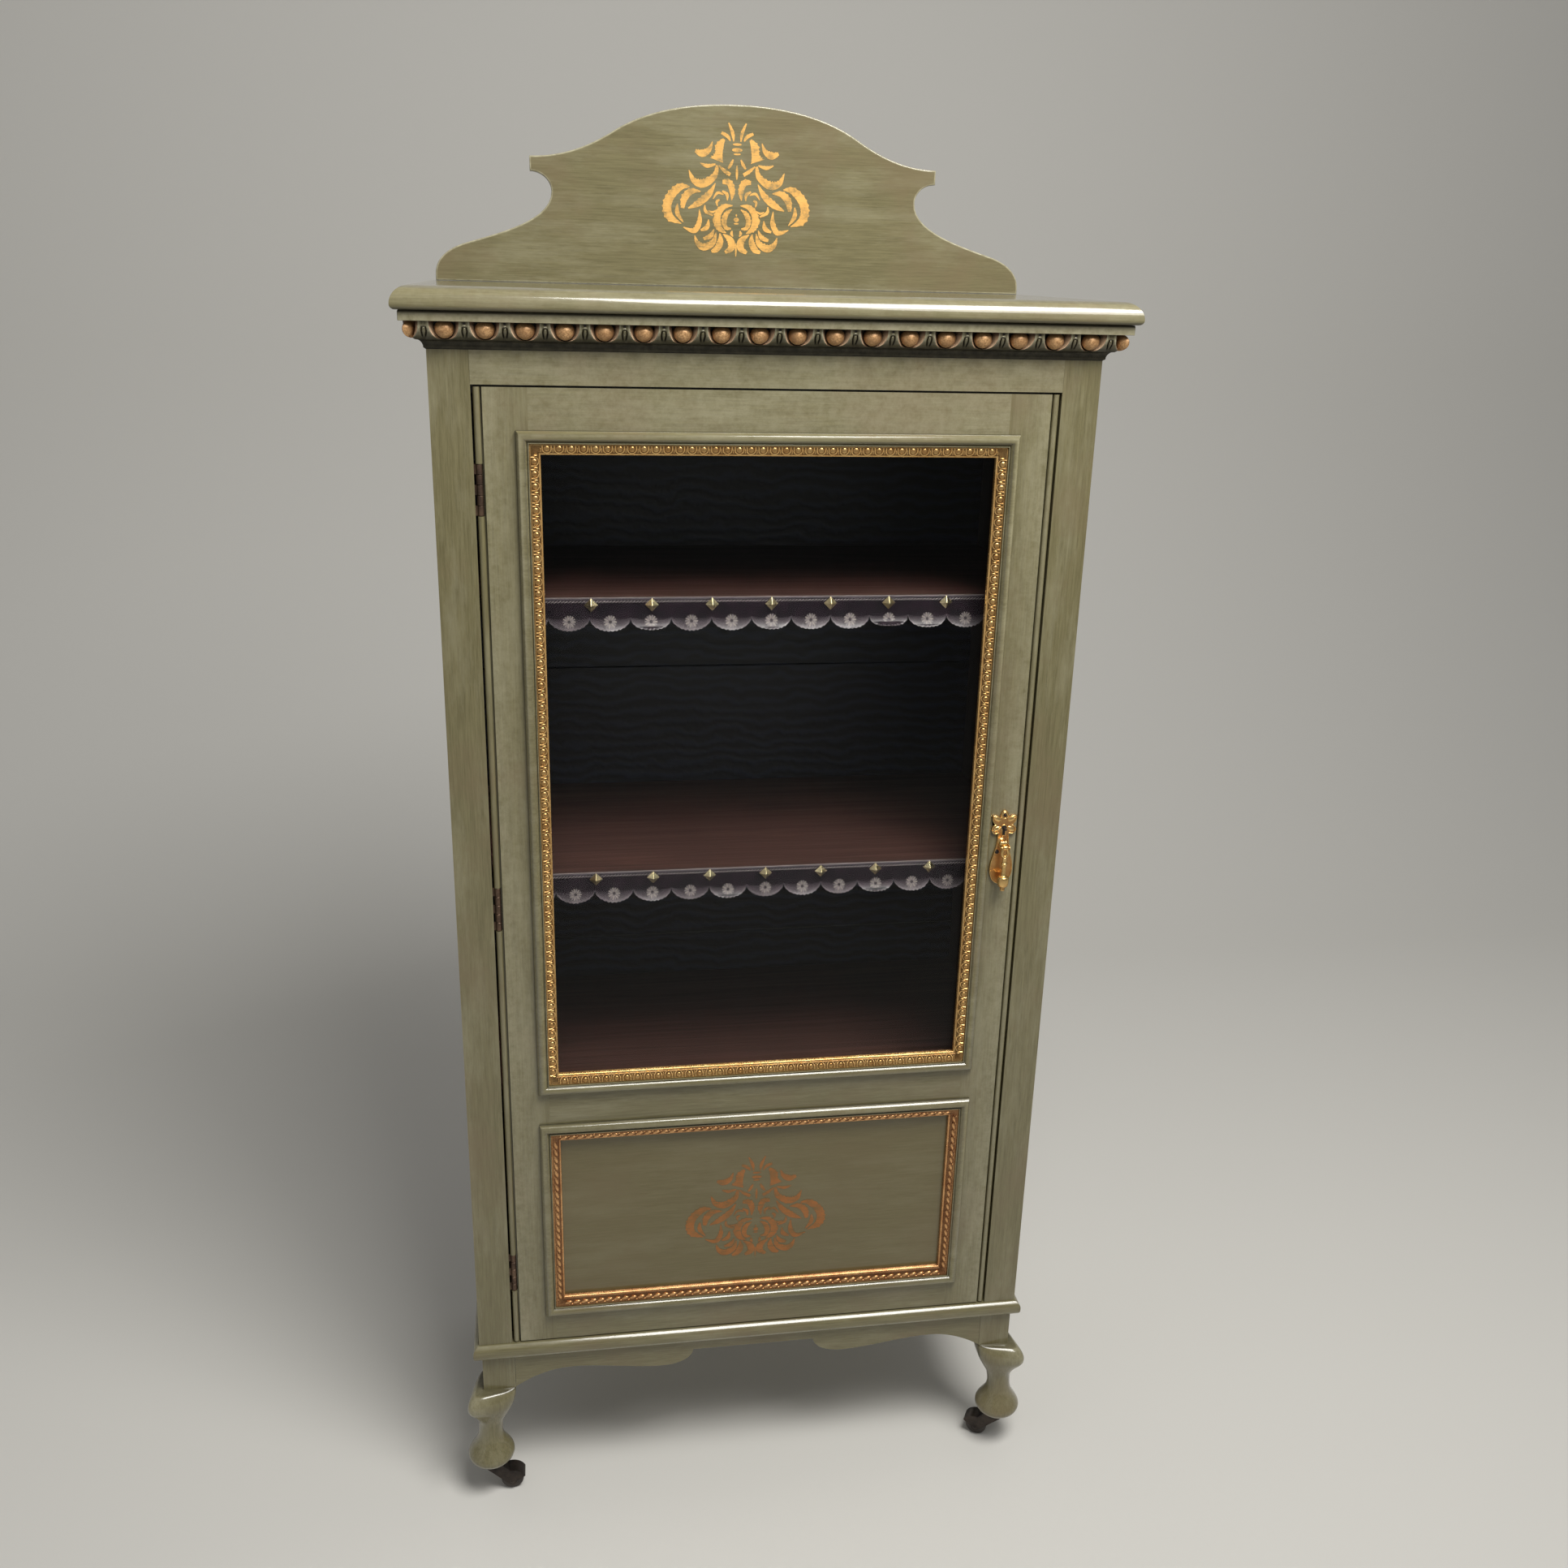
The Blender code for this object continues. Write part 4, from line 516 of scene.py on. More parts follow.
def wood_material(name, dark, light, along, roughness, waves=0.0, bare_y=None):
    """Stained wood with its grain along an axis; waves lifts a lighter rippled figure, partly a painted
    sheen; bare_y ends the stain.
    """
    box = Paintbox(name)
    grain = box.noise(streak_scale(3.5, along, 130), 6.0, 0.65, 1.2)
    base = box.mix(box.span(grain, 0.32, 0.68), dark, light)
    height = grain
    if waves:
        height = box.node(
            "ShaderNodeTexWave", {"bands_direction": "Z", "wave_profile": "SIN"}, Vector=box.place,
            Scale=22.0, Distortion=9.0, Detail=4.0, Detail_Scale=0.9, Detail_Roughness=0.6,
        ).outputs["Fac"]
        # The rippled figure is lighter: grain figure and a painted sheen
        base = box.mix(box.span(height, 0.35, 0.95, 0.0, waves), base, tuple(2.6 * c for c in light))
    if bare_y:
        bare = box.mix(box.span(grain, 0.32, 0.68), *BARE_WOOD)
        depth = box.node("ShaderNodeSeparateXYZ", Vector=box.place).outputs["Y"]
        base = box.mix(box.maths("GREATER_THAN", depth, bare_y), base, bare)
    box.bump(height, 0.35, 0.8 * MM)
    return box.done(base, box.span(grain, 0.3, 0.7, roughness + 0.08, roughness - 0.06))


def leather_material():
    box = Paintbox("embossed_leather", specular=0.2)
    grain = box.node(
        "ShaderNodeTexVoronoi", {"feature": "DISTANCE_TO_EDGE"}, Vector=box.place, Scale=900.0,
    ).outputs["Distance"]
    cloud = box.noise(90.0, 4.0, 0.65)
    base = box.mix(box.span(cloud, 0.35, 0.65), (0.004, 0.002, 0.004), (0.012, 0.006, 0.010))
    tone = box.tone()
    # Tones above 0 lighten the leather, for wear and a painted highlight on the curled scallops; below 0
    # darken it
    base = box.mix(box.span(tone, 0.0, 1.0, 0.0, 0.85), base, (0.105, 0.086, 0.096))
    base = box.mix(box.span(tone, 1.0, 2.0), base, (0.22, 0.19, 0.165))
    base = box.mix(box.span(tone, 0.0, -1.0), base, (0.006, 0.005, 0.006))
    box.bump(grain, 0.25, 0.4 * MM)
    return box.done(base, box.span(cloud, 0.3, 0.7, 0.48, 0.34))


def metal_material(name, bright, dull, roughness, metallic=1.0, scale=45.0):
    box = Paintbox(name, metallic=metallic)
    cloud = box.noise(scale, 5.0, 0.7)
    fine = box.noise(900.0, 2.0, 0.5)
    base = box.mix(box.span(cloud, 0.36, 0.64), dull, bright)
    tone = box.tone()
    base = box.mix(box.span(tone, 0.0, -1.0, 0.0, 0.95), base, (0.022, 0.012, 0.010))
    box.bump(fine, 0.06, 0.2 * MM)
    return box.done(base, box.span(cloud, 0.3, 0.7, roughness + 0.1, roughness - 0.04))


def glass_material():
    """Clear glass whose shadow rays pass, so that the shelves behind it are lit."""
    box = Paintbox("pane_glass", roughness=0.02)
    box.shader.inputs["Base Color"].default_value = (0.96, 0.98, 0.97, 1.0)
    box.shader.inputs["Transmission Weight"].default_value = 1.0
    box.shader.inputs["IOR"].default_value = 1.18
    ray = box.node("ShaderNodeLightPath").outputs["Is Shadow Ray"]
    clear = box.node("ShaderNodeBsdfTransparent", Color=(0.94, 0.96, 0.95)).outputs["BSDF"]
    blend = box.node("ShaderNodeMixShader")
    box.put(blend.inputs[0], ray)
    box.put(blend.inputs[1], box.shader.outputs["BSDF"])
    box.put(blend.inputs[2], clear)
    output = next(n for n in box.tree.nodes if n.type == "OUTPUT_MATERIAL")
    box.put(output.inputs["Surface"], blend.outputs["Shader"])
    return box.material


PAINT_X = painted("sage_paint_across", "x")
PAINT_Y = painted("sage_paint_deep", "y")
PAINT_Z = painted("sage_paint_upright", "z")
PAINT_PANEL = painted("sage_paint_panel", "x", PANEL_AGE)
GILT = gilded("gold_leaf", (0.74, 0.49, 0.20), (0.50, 0.27, 0.09), (0.045, 0.018, 0.007), 0.80, 0.28)
ROSE_GILT = gilded("rose_gilding", (0.66, 0.38, 0.17), (0.40, 0.18, 0.07), (0.050, 0.018, 0.009), 0.80, 0.28)
COPPER = gilded(
    "copper_gilding", (0.66, 0.400, 0.185), (0.320, 0.168, 0.070), (0.030, 0.013, 0.007), 0.35, 0.38, 0.35,
)
# The cups' walls, made pale to stand for their lit lower lips: partly a painted highlight
PALE_COPPER = gilded("pale_copper_painted_highlight", (0.74, 0.54, 0.36), (0.60, 0.39, 0.24), (0.04, 0.020, 0.013), 0.0, 0.50)
STENCIL_GOLD = stencilled("stencil_gold", "x", (0.76, 0.42, 0.115), 0.85)
STENCIL_FADED = stencilled("stencil_faded", "x", (0.42, 0.135, 0.030), 0.45, PANEL_AGE)
MAHOGANY = wood_material("mahogany_stain", (0.014, 0.006, 0.005), (0.050, 0.021, 0.016), "x", 0.36)
BACK_WOOD = wood_material(
    "dark_back_boards", (0.002, 0.002, 0.004), (0.005, 0.006, 0.013), "x", 0.42, 0.8,
    high("back_panel").y - 2 * MM,
)
LEATHER = leather_material()
BRASS = metal_material("old_brass", (0.86, 0.60, 0.25), (0.62, 0.36, 0.13), 0.27)
BRASS_DULL = metal_material("copper_brass", (0.66, 0.38, 0.15), (0.48, 0.24, 0.09), 0.36)
STUD_BRASS = metal_material("stud_brass", (0.86, 0.74, 0.46), (0.52, 0.40, 0.22), 0.24)
IRON = metal_material("brown_iron", (0.16, 0.10, 0.065), (0.06, 0.038, 0.027), 0.42, 0.7)
BLACK_IRON = metal_material("black_iron", (0.055, 0.042, 0.034), (0.018, 0.014, 0.012), 0.34, 0.6)
# Near black, for screw heads and the lock's pin, and as painted shade where it fills holes
DARK_METAL_AND_HOLE_SHADE = metal_material("dark_metal_and_hole_shade", (0.020, 0.012, 0.010), (0.012, 0.008, 0.007), 0.6, 0.0)
WHEEL = metal_material("caster_composition", (0.045, 0.034, 0.028), (0.016, 0.012, 0.010), 0.36, 0.0)
GLASS = glass_material()


def recoat(material, *nodes):
    """Give CAD nodes a better material."""
    for name in nodes:
        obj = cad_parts[name]
        for material_slot in obj.material_slots:
            material_slot.material = material


# Boards, frames and mouldings

def mitred_board(node, profile):
    """A board with a moulding on its front and ends; profile points are (inset, z, tone)."""
    half_width, front_y = high(node).x, low(node).y
    rings = []
    tones = []
    for inset, z, tone in profile:
        x, y = half_width - inset, front_y + inset
        rings.append([(-x, y, z), (x, y, z), (x, BACK_Y, z), (-x, BACK_Y, z)])
        tones += [tone] * 4
    shape = Shape()
    shape.skin(rings, tones)
    painted_piece(node, shape, PAINT_X)


# The base board's rounded edge as (inset, height from its middle, tone), in millimetres from the foot up
NOSING = (
    (6.5, -9.75, 0.0), (5.6, -9.5, 0.0), (3.0, -7.7, 0.35), (1.3, -6.0, 0.35), (0.5, -4.4, 0.35),
    (0.1, -2.5, 0.0), (0.0, 0.0, 0.0), (0.1, 2.5, 0.0), (0.5, 4.4, 0.0), (1.3, 6.0, 0.0),
    (2.3, 7.1, 0.1), (3.0, 7.68, 0.1), (4.0, 8.4, 0.1), (5.0, 9.1, 0.25), (5.6, 9.5, 0.25), (6.5, 9.75, 0.0),
)


def top_and_base():
    lip, thumb_depth = 4.5 * MM, 17 * MM
    under = arc((lip, TOP_FOOT_Z + lip), (-lip, -lip), 90, 0, 7)
    thumb = arc((thumb_depth, TOP_FOOT_Z + lip), (-thumb_depth, TOP_Z - TOP_FOOT_Z - lip), 0, 90, 16)
    # Tones up the edge: painted shade under the lip, lighter toward the top arris
    tones = [
        (TOP_FOOT_Z, -0.8), (TOP_FOOT_Z + MM, -0.3), (TOP_FOOT_Z + lip, 0.1), (TOP_Z - 2 * MM, 0.15),
        (TOP_Z, 0.4),
    ]
    profile = [(inset, z, between(z, tones)) for inset, z in under + thumb[1:]]
    mitred_board("top_board", profile + [(22 * MM, TOP_Z, 0.0), (40 * MM, TOP_Z, 0.0)])
    middle_z = (BASE_FOOT_Z + BASE_TOP_Z) / 2
    mitred_board("base_board", [(inset * MM, middle_z + rise * MM, tone) for inset, rise, tone in NOSING])


# Right half of the upstand's outline, from its foot to the middle of its top, as Bezier controls in
# shares of its half width and its height
UPSTAND_CURVES = (
    ((1.0, 0.032), (1.0, 0.127), (0.95, 0.182), (0.895, 0.211)),
    ((0.895, 0.211), (0.791, 0.267), (0.614, 0.342), (0.614, 0.503)),
    ((0.614, 0.503), (0.614, 0.561), (0.645, 0.608), (0.683, 0.608)),
    ((0.683, 0.688), (0.571, 0.688), (0.481, 0.757), (0.403, 0.842)),
    ((0.403, 0.842), (0.327, 0.921), (0.206, 1.0), (0.0, 1.0)),
)


def upstand():
    lowest, highest = low("upstand"), high("upstand")
    half, height = highest.x, highest.z - lowest.z
    outline = mirrored([(0, 0), (half, 0)] + bezier_chain(UPSTAND_CURVES, half, height, 14))
    rings, tones = [], []
    # The front edge is lighter: rubbed wear and a painted highlight
    for inset, y, tone in (
        (0, highest.y, 0.0), (0, lowest.y + 0.9 * MM, 0.3), (0.3 * MM, lowest.y + 0.3 * MM, 0.9),
        (0.9 * MM, lowest.y, 0.8), (2.0 * MM, lowest.y, 0.0),
    ):
        rings.append([(x, y, lowest.z + z) for x, z in shrunk(outline, inset)])
        tones += [tone] * len(outline)
    shape = Shape()
    shape.skin(rings, tones)
    painted_piece("upstand", shape, PAINT_X, sharp=50)


def apron_outline(half):
    """A drop in the middle, a lobe beside it, an arch, and a fall to the leg, on either side."""
    drop, lobe, arch = half * 0.258, half * 0.38, half * 0.77
    top = BASE_FOOT_Z - GAP
    middle_z, lobe_z, arch_z, end_z = [BASE_FOOT_Z - depth * MM for depth in (14.5, 34.5, 24, 46)]
    points = [(0, middle_z)] + arc((lobe, middle_z), (drop - lobe, lobe_z - middle_z), 0, 90, 10)
    for controls in (
        ((lobe, lobe_z), ((2 * lobe + arch) / 3, lobe_z), ((lobe + 2 * arch) / 3, arch_z), (arch, arch_z)),
        (
            (arch, arch_z), ((2 * arch + half) / 3, arch_z),
            ((arch + 2 * half) / 3, (2 * arch_z + end_z) / 3), (half, end_z),
        ),
    ):
        points += bezier_chain([controls], 1, 1, 12)[1:]
    points += [(half, top), (0, top)]
    return points + [(-u, v) for u, v in reversed(points[1:-1])]


def aprons():
    for word, material in (("front", PAINT_X), ("rear", PAINT_X), ("left", PAINT_Y), ("right", PAINT_Y)):
        node = f"apron_{word}"
        lowest, highest = low(node), high(node)
        shape = Shape()
        if word in ("front", "rear"):
            outline = [(u, lowest.y, v) for u, v in apron_outline(highest.x)]
            shape.prism(outline, Y * (highest.y - lowest.y))
        else:
            middle_y = ((lowest + highest) / 2).y
            outline = [(lowest.x, middle_y + u, v) for u, v in apron_outline(highest.y - middle_y)]
            shape.prism(outline, X * (highest.x - lowest.x))
        painted_piece(node, shape, material, soften=0.5 * MM)


# Cross-sections of a leg below its block, from the foot up: (share of the leg's height, shift outward
# from under the block as a share of the foot's, half width as a share of the foot's, power of the
# superellipse with 2 for a circle, how far the knee is drawn out to its corner)
LEG_SECTIONS = (
    (0.0, 1.0, 0.55, 2.0, 0.0), (0.02, 1.0, 0.80, 2.0, 0.0), (0.052, 1.0, 0.965, 2.0, 0.0),
    (0.09, 1.0, 1.0, 2.0, 0.0), (0.137, 1.0, 0.87, 2.0, 0.0), (0.19, 1.0, 0.685, 2.0, 0.0),
    (0.25, 1.0, 0.55, 2.0, 0.0), (0.32, 0.97, 0.518, 2.0, 0.01), (0.40, 0.87, 0.565, 2.2, 0.07),
    (0.477, 0.66, 0.69, 2.9, 0.30), (0.545, 0.50, 0.80, 3.6, 0.52), (0.60, 0.41, 0.84, 4.2, 0.55),
    (0.645, 0.31, 0.83, 5.0, 0.48), (0.68, 0.17, 0.775, 6.5, 0.36), (0.695, 0.06, 0.715, 9.0, 0.10),
)
FOOT_SHIFT = 13.4 * MM
FOOT_HALF = 27.4 * MM
BLOCK_HALF = 18.75 * MM
BLOCK_FOOT = 0.695
LEG_SIDES = 48


def legs():
    """Each leg is turned so that its knee points outward."""
    for word, quarter in (("front_left", 0), ("front_right", 1), ("rear_right", 2), ("rear_left", 3)):
        node = f"leg_{word}"
        lowest, highest = low(node), high(node)
        height = highest.z - lowest.z + GAP
        out_x = -1 if "left" in word else 1
        out_y = -1 if "front" in word else 1
        foot_x = (lowest.x if out_x < 0 else highest.x) - out_x * FOOT_HALF
        foot_y = (lowest.y if out_y < 0 else highest.y) - out_y * FOOT_HALF
        centre = Vector((foot_x - out_x * FOOT_SHIFT, foot_y - out_y * FOOT_SHIFT, lowest.z))
        turned = Matrix.Rotation(quarter * math.pi / 2, 3, "Z")
        rings, tones = [], []
        for share, shift, half, power, reach in curve(LEG_SECTIONS, 4):
            ring = []
            for turn in turns(LEG_SIDES):
                c, s = math.cos(turn), math.sin(turn)
                radius = FOOT_HALF * half / (abs(c) ** power + abs(s) ** power) ** (1 / power)
                offset = min(0, c + s) * radius * reach / 2 - shift * FOOT_SHIFT
                place = Vector((radius * c + offset, radius * s + offset, share * height))
                ring.append(centre + turned @ place)
                # The knee's corner is rubbed lighter; the top of the knee, just under the block, is darker
                knee = max(0, -(c + s) / 1.41) ** 6 * reach
                tones.append(0.8 * knee - (0.5 if share > 0.685 else 0.0))
            rings.append(ring)
        shape = Shape()
        shape.skin(rings, tones)
        outline = [
            centre + Vector((x * BLOCK_HALF, y * BLOCK_HALF, BLOCK_FOOT * height))
            for x, y in ((-1, -1), (1, -1), (1, 1), (-1, 1))
        ]
        shape.prism(outline, Z * ((1 - BLOCK_FOOT) * height - GAP))
        painted_piece(node, shape, PAINT_Z, soften=0.5 * MM, sharp=50)


def stile_outline(sign):
    """Section of a door stile with its edge bead and the groove beside it, as (x, y, tone)."""
    section = [(HALF_DOOR, DOOR_BACK_Y, 0.0)]
    for i in range(13):
        a = math.radians(180 * i / 12)
        tone = 0.2 if 4 < i < 9 else 0.0
        section.append((HALF_DOOR - BEAD + BEAD * math.cos(a), FACE_Y + BEAD - BEAD * math.sin(a), tone))
    # The groove beside the bead is darkened as painted shade; the bead's crest and the arris are rubbed
    # lighter
    quirk_y, arris = FACE_Y + 3.6 * MM, 0.4 * MM
    section += [
        (HALF_DOOR - 2 * BEAD, quirk_y, -0.9), (QUIRK_X, quirk_y, -0.9), (QUIRK_X, FACE_Y + arris, 0.0),
        (QUIRK_X - arris, FACE_Y, 0.3), (HALF_SIGHT, FACE_Y, 0.0), (HALF_SIGHT, DOOR_BACK_Y, 0.0),
    ]
    return [(sign * x, y, tone) for x, y, tone in section]


def hinge_spans():
    leaves = [f"hinge_frame_leaf_{word}" for word in ("bottom", "middle", "top")]
    return [(low(leaf).z - GAP, high(leaf).z + GAP) for leaf in leaves]


LEAF_RECESS = 1.5 * MM
HINGE_BACK_Y = DOOR_BACK_Y - 0.9 * MM
CLEARANCE = Vector((GAP, GAP, GAP))
OVERCUT = 5 * MM  # how far a cutter stands out of what it cuts


def door_frame():
    """The door's stiles and rails under one coat of paint, cut for the hinges and the lock."""
    for word, sign in (("left", -1), ("right", 1)):
        section = stile_outline(sign)
        shape = Shape()
        shape.skin(
            [[(x, y, z) for x, y, tone in section] for z in (DOOR_FOOT_Z, DOOR_TOP_Z)],
            [tone for x, y, tone in section],
        )
        stile = to_object(f"door_stile_{word}_painted", shape, [PAINT_Z])
        cutter = Shape()
        if sign < 0:
            outer_x, knuckle_x, leaf_x = -HALF_DOOR - 2 * MM, HINGE_X + 3.7 * MM, -HALF_DOOR + LEAF_RECESS
            front_y, knuckle_y = FACE_Y - OVERCUT, HINGE_Y + 3.7 * MM
            recess = [
                (outer_x, front_y), (knuckle_x, front_y), (knuckle_x, knuckle_y), (leaf_x, knuckle_y),
                (leaf_x, HINGE_BACK_Y), (outer_x, HINGE_BACK_Y),
            ]
            for foot, head in hinge_spans():
                cutter.prism([(x, y, foot) for x, y in recess], Z * (head - foot))
        else:
            top_z = high("lock_case").z + GAP
            cutter.box(low("lock_case") - CLEARANCE, (HALF_DOOR + OVERCUT, DOOR_BACK_Y + OVERCUT, top_z))
        carved(stile, cutter)
        dress(stile, "door", [f"door_stile_{word}"])
    rails = Shape()
    # The top rail is lighter, as painted light from above
    for foot, head, tone in (
        (DOOR_FOOT_Z, PANEL_LOW_Z, 0.0), (PANEL_HIGH_Z, GLASS_LOW_Z, 0.0), (GLASS_HIGH_Z, DOOR_TOP_Z, 0.25),
    ):
        rails.box((-HALF_SIGHT, FACE_Y, foot), (HALF_SIGHT, DOOR_BACK_Y, head), tone)
    piece(
        "door_rails_painted", rails, [PAINT_X], "door",
        ["door_rail_bottom", "door_rail_middle", "door_rail_top"],
    )


def face_frame():
    """The painted front of the carcass round the door, cut for the hinges, the keeper and the bolt."""
    for word, sign in (("left", -1), ("right", 1)):
        shape = Shape()
        shape.box(
            (sign * HALF_OPENING, FACE_Y, BASE_TOP_Z),
            (sign * HALF_WIDTH, FRAME_BACK_Y + 0.2 * MM, TOP_FOOT_Z),
        )
        stile = to_object(f"face_stile_{word}_painted", shape, [PAINT_Z])
        cutter = Shape()
        if sign < 0:
            for foot, head in hinge_spans():
                cutter.box(
                    (-HALF_OPENING - LEAF_RECESS, HINGE_Y - GAP, foot),
                    (-HALF_OPENING + OVERCUT, HINGE_BACK_Y, head),
                )
        else:
            keeper, bolt = low("lock_keeper"), low("lock_bolt")
            cutter.box(
                (HALF_OPENING - OVERCUT, keeper.y - GAP, keeper.z - GAP), high("lock_keeper") + CLEARANCE,
            )
            mortise = Shape()
            mortise.box(
                (HALF_OPENING - OVERCUT, bolt.y - GAP, bolt.z - GAP),
                high("lock_bolt") + Vector((BOLT_THROW + 2 * MM, GAP, GAP)),
            )
            carved(stile, mortise)
        carved(stile, cutter)
        dress(stile, "carcass", [f"face_stile_{word}"])
    rail = Shape()
    half, head = HALF_OPENING + SKIN, TOP_FOOT_Z - SKIN
    back_y = high("face_rail_top").y
    # The rail's front is lighter, as painted light from above; the stop behind it is darker, as painted shade
    rail.box((-half, FACE_Y, OPENING_TOP_Z), (half, FRAME_BACK_Y, head), 0.25)
    rail.box((-half, FRAME_BACK_Y + GAP, OPENING_TOP_Z - STOP_DROP), (half, back_y, head), -0.3)
    piece("face_rail_painted", rail, [PAINT_X], "carcass", ["face_rail_top"])


def frame_sides(half_width, low_z, high_z):
    """Start, direction, inward direction and length of each side of an opening."""
    wide, tall = 2 * half_width, high_z - low_z
    return (
        (Vector((-half_width, 0, low_z)), X, Z, wide),
        (Vector((half_width, 0, low_z)), Z, -X, tall),
        (Vector((half_width, 0, high_z)), -X, -Z, wide),
        (Vector((-half_width, 0, high_z)), -Z, X, tall),
    )


# Sections of the raised moulding and of the gilt slip inside it, as (inset from the edge of the
# opening, y from the cabinet's face, tone), in millimetres; the moulding lies outside that edge
# Low tones darken the moulding's creases and groove as painted shade, and darken the slip's ground
MOULDING = (
    (-12.0, -0.2, -0.9), (-11.8, -2.6, -0.5), (-11.4, -3.9, -0.2), (-11.1, -4.35, 0.0), (-10.1, -5.6, 0.0),
    (-9.0, -6.85, 0.1), (-8.4, -7.35, 0.2), (-7.4, -7.85, 0.2), (-6.6, -8.0, 0.1), (-5.6, -8.0, 0.1),
    (-4.9, -7.85, 0.0), (-4.2, -7.35, 0.0), (-3.7, -6.85, 0.0), (-2.9, -5.95, 0.0), (-2.1, -4.95, 0.0),
    (-1.8, -4.5, -0.5), (-1.4, -4.3, -0.7), (-1.0, -4.5, -0.7), (-0.6, -5.5, 0.2), (0.0, -5.5, 0.3),
    (0.2, -4.6, -0.4), (0.2, 0.0, 0.0),
)
SLIP = (
    (0.25, 5.0, 0.0), (0.25, -3.4, -0.6), (1.2, -3.9, 0.1), (2.0, -3.8, -0.9), (2.6, -4.0, -0.75),
    (5.0, -3.1, -0.8), (7.4, -1.4, -0.8), (8.9, 0.1, -0.9), (9.3, -0.1, 0.0), (10.4, 0.5, 0.4),
    (10.9, 1.3, 0.1), (11.0, 5.6, 0.0),
)
SLIP_FACE = tuple((inset, y) for inset, y, tone in SLIP[1:-1])


def mitred_frame(section, low_z, high_z):
    """A moulding run round an opening of the door, mitred at its four corners."""
    profile = [(inset * MM, FACE_Y + y * MM) for inset, y, tone in section]
    rings = [
        [(side * (HALF_SIGHT - inset), y, high_z - inset if top else low_z + inset) for inset, y in profile]
        for side, top in ((-1, False), (1, False), (1, True), (-1, True))
    ]
    shape = Shape()
    shape.skin(rings, [tone for inset, y, tone in section], looped=True)
    return shape


def mouldings():
    for word, low_z, high_z, ornament, metal in (
        ("glass", GLASS_LOW_Z, GLASS_HIGH_Z, small_eggs, GILT),
        ("panel", PANEL_LOW_Z, PANEL_HIGH_Z, rope_beads, ROSE_GILT),
    ):
        shape = mitred_frame(MOULDING, low_z, high_z)
        painted_piece(f"{word}_moulding", shape, PAINT_X, "door", sharp=60)
        shape = mitred_frame(SLIP, low_z, high_z)
        for side in frame_sides(HALF_SIGHT, low_z, high_z):
            ornament(shape, *side)
        piece(f"{word}_slip_gilded", shape, [metal], "door", [f"{word}_slip"], sharp=50)


def on_slip(start, along, inward, t, n, lift):
    """A place on the slip's face: t along it in metres, n in from its edge and lift above it in mm."""
    y = FACE_Y + (between(n, SLIP_FACE) - lift) * MM
    point = start + along * t + inward * (n * MM)
    return Vector((point.x, y, point.z))


def small_eggs(shape, start, along, inward, length):
    """A row of small eggs in raised U-shaped rims, with a dart between each pair."""
    corner = 11 * MM
    count = round((length - 2 * corner) / (11.5 * MM))
    pitch = (length - 2 * corner) / count
    rim = [(-4.2, 1.8), (-4.1, 4.0)] + arc((0, 5.2), (4.0, 3.5), 180, 0, 8) + [(4.1, 4.0), (4.2, 1.8)]
    for i in range(count):
        t = corner + pitch * (i + 0.5)
        # Through the gilding's tones the rims and darts are brighter, a painted highlight, and the eggs a
        # little darker
        path = [on_slip(start, along, inward, t + u * MM, n, 0.4) for u, n in rim]
        shape.tube(path, 0.65, 0.8, sides=5)
        centre = on_slip(start, along, inward, t, 4.5, 0.1)
        shape.ellipsoid(centre, (along * 2.9, inward * 3.1, Y * -1.1), -0.25, 0, 10, 6)
        for edge in ([-0.5, 0.5] if i == 0 else [0.5]):
            centre = on_slip(start, along, inward, t + edge * pitch, 5.4, 0.0)
            shape.ellipsoid(centre, (along * 0.55, inward * 3.1, Y * -0.9), 0.7, 0, 6, 4)


def rope_beads(shape, start, along, inward, length):
    """A row of slanting leaf-shaped beads, with a tooth between each pair."""
    corner = 10 * MM
    count = round((length - 2 * corner) / (9.4 * MM))
    pitch = (length - 2 * corner) / count
    lean, side = along * 4.3 + inward * 1.5, inward * 1.7 - along * 0.6
    for i in range(count):
        t = corner + pitch * (i + 0.5)
        bead = on_slip(start, along, inward, t, 5.2, 0.1)
        shape.ellipsoid(bead, (lean, side, Y * -1.4), 0.6, 0, 8, 5)
        tooth = on_slip(start, along, inward, t + pitch * 0.45, 3.2, 0.0)
        shape.ellipsoid(tooth, (along * 1.7, inward * 0.7, Y * -0.9), 0.4, 0, 6, 4)


# Cornice with eggs and darts, in millimetres along it, out from the cabinet's face and up from its foot

CORNICE_FOOT_Z = TOP_FOOT_Z - 34.5 * MM
FRONT_LENGTH = 650.0
SIDE_LENGTH = 336.0
MITRE_GAP = 0.3
EGG_PITCH = FRONT_LENGTH / 18
EGG_RISE = 18.0
EGG_OUT = 10.6
EGG_HALF_WIDTH = 9.0
EGG_HALF_HEIGHT = 8.1
CUP_HEAD = 24.8
CUP_DEPTH = 15.8
CUP_BACK_OUT = 7.5
CUP_FRONT_HALF = 13.2
CUP_BACK_HALF = 9.4
CUT_HEIGHTS = (
    8.8, 9.0, 9.3, 9.8, 10.4, 11.2, 12.1, 13.1, 14.2, 15.3, 16.4, 17.5, 18.4, 19.1, 19.6, 20.1, 20.8, 21.8,
    22.8, 23.8, 24.7, 25.1,
)
# By height: half width and depth of the darts, grime and painted shade on them, and painted shade on the
# walls of the cups
DART_HALVES = ((9.3, 0.2), (12.5, 1.5), (16.5, 2.3), (20, 1.7))
DART_DEPTHS = ((9.3, 0.7), (13, 1.0), (19.8, 1.0), (20.6, 0.0))
DART_GRIME_AND_SHADE = ((9, 0.8), (13, 0.4), (18, 0.0), (23, 0.0), (25.1, 0.6))
WALL_SHADES = ((9, 0.0), (17, 0.0), (20, -0.9), (23, -2.0))
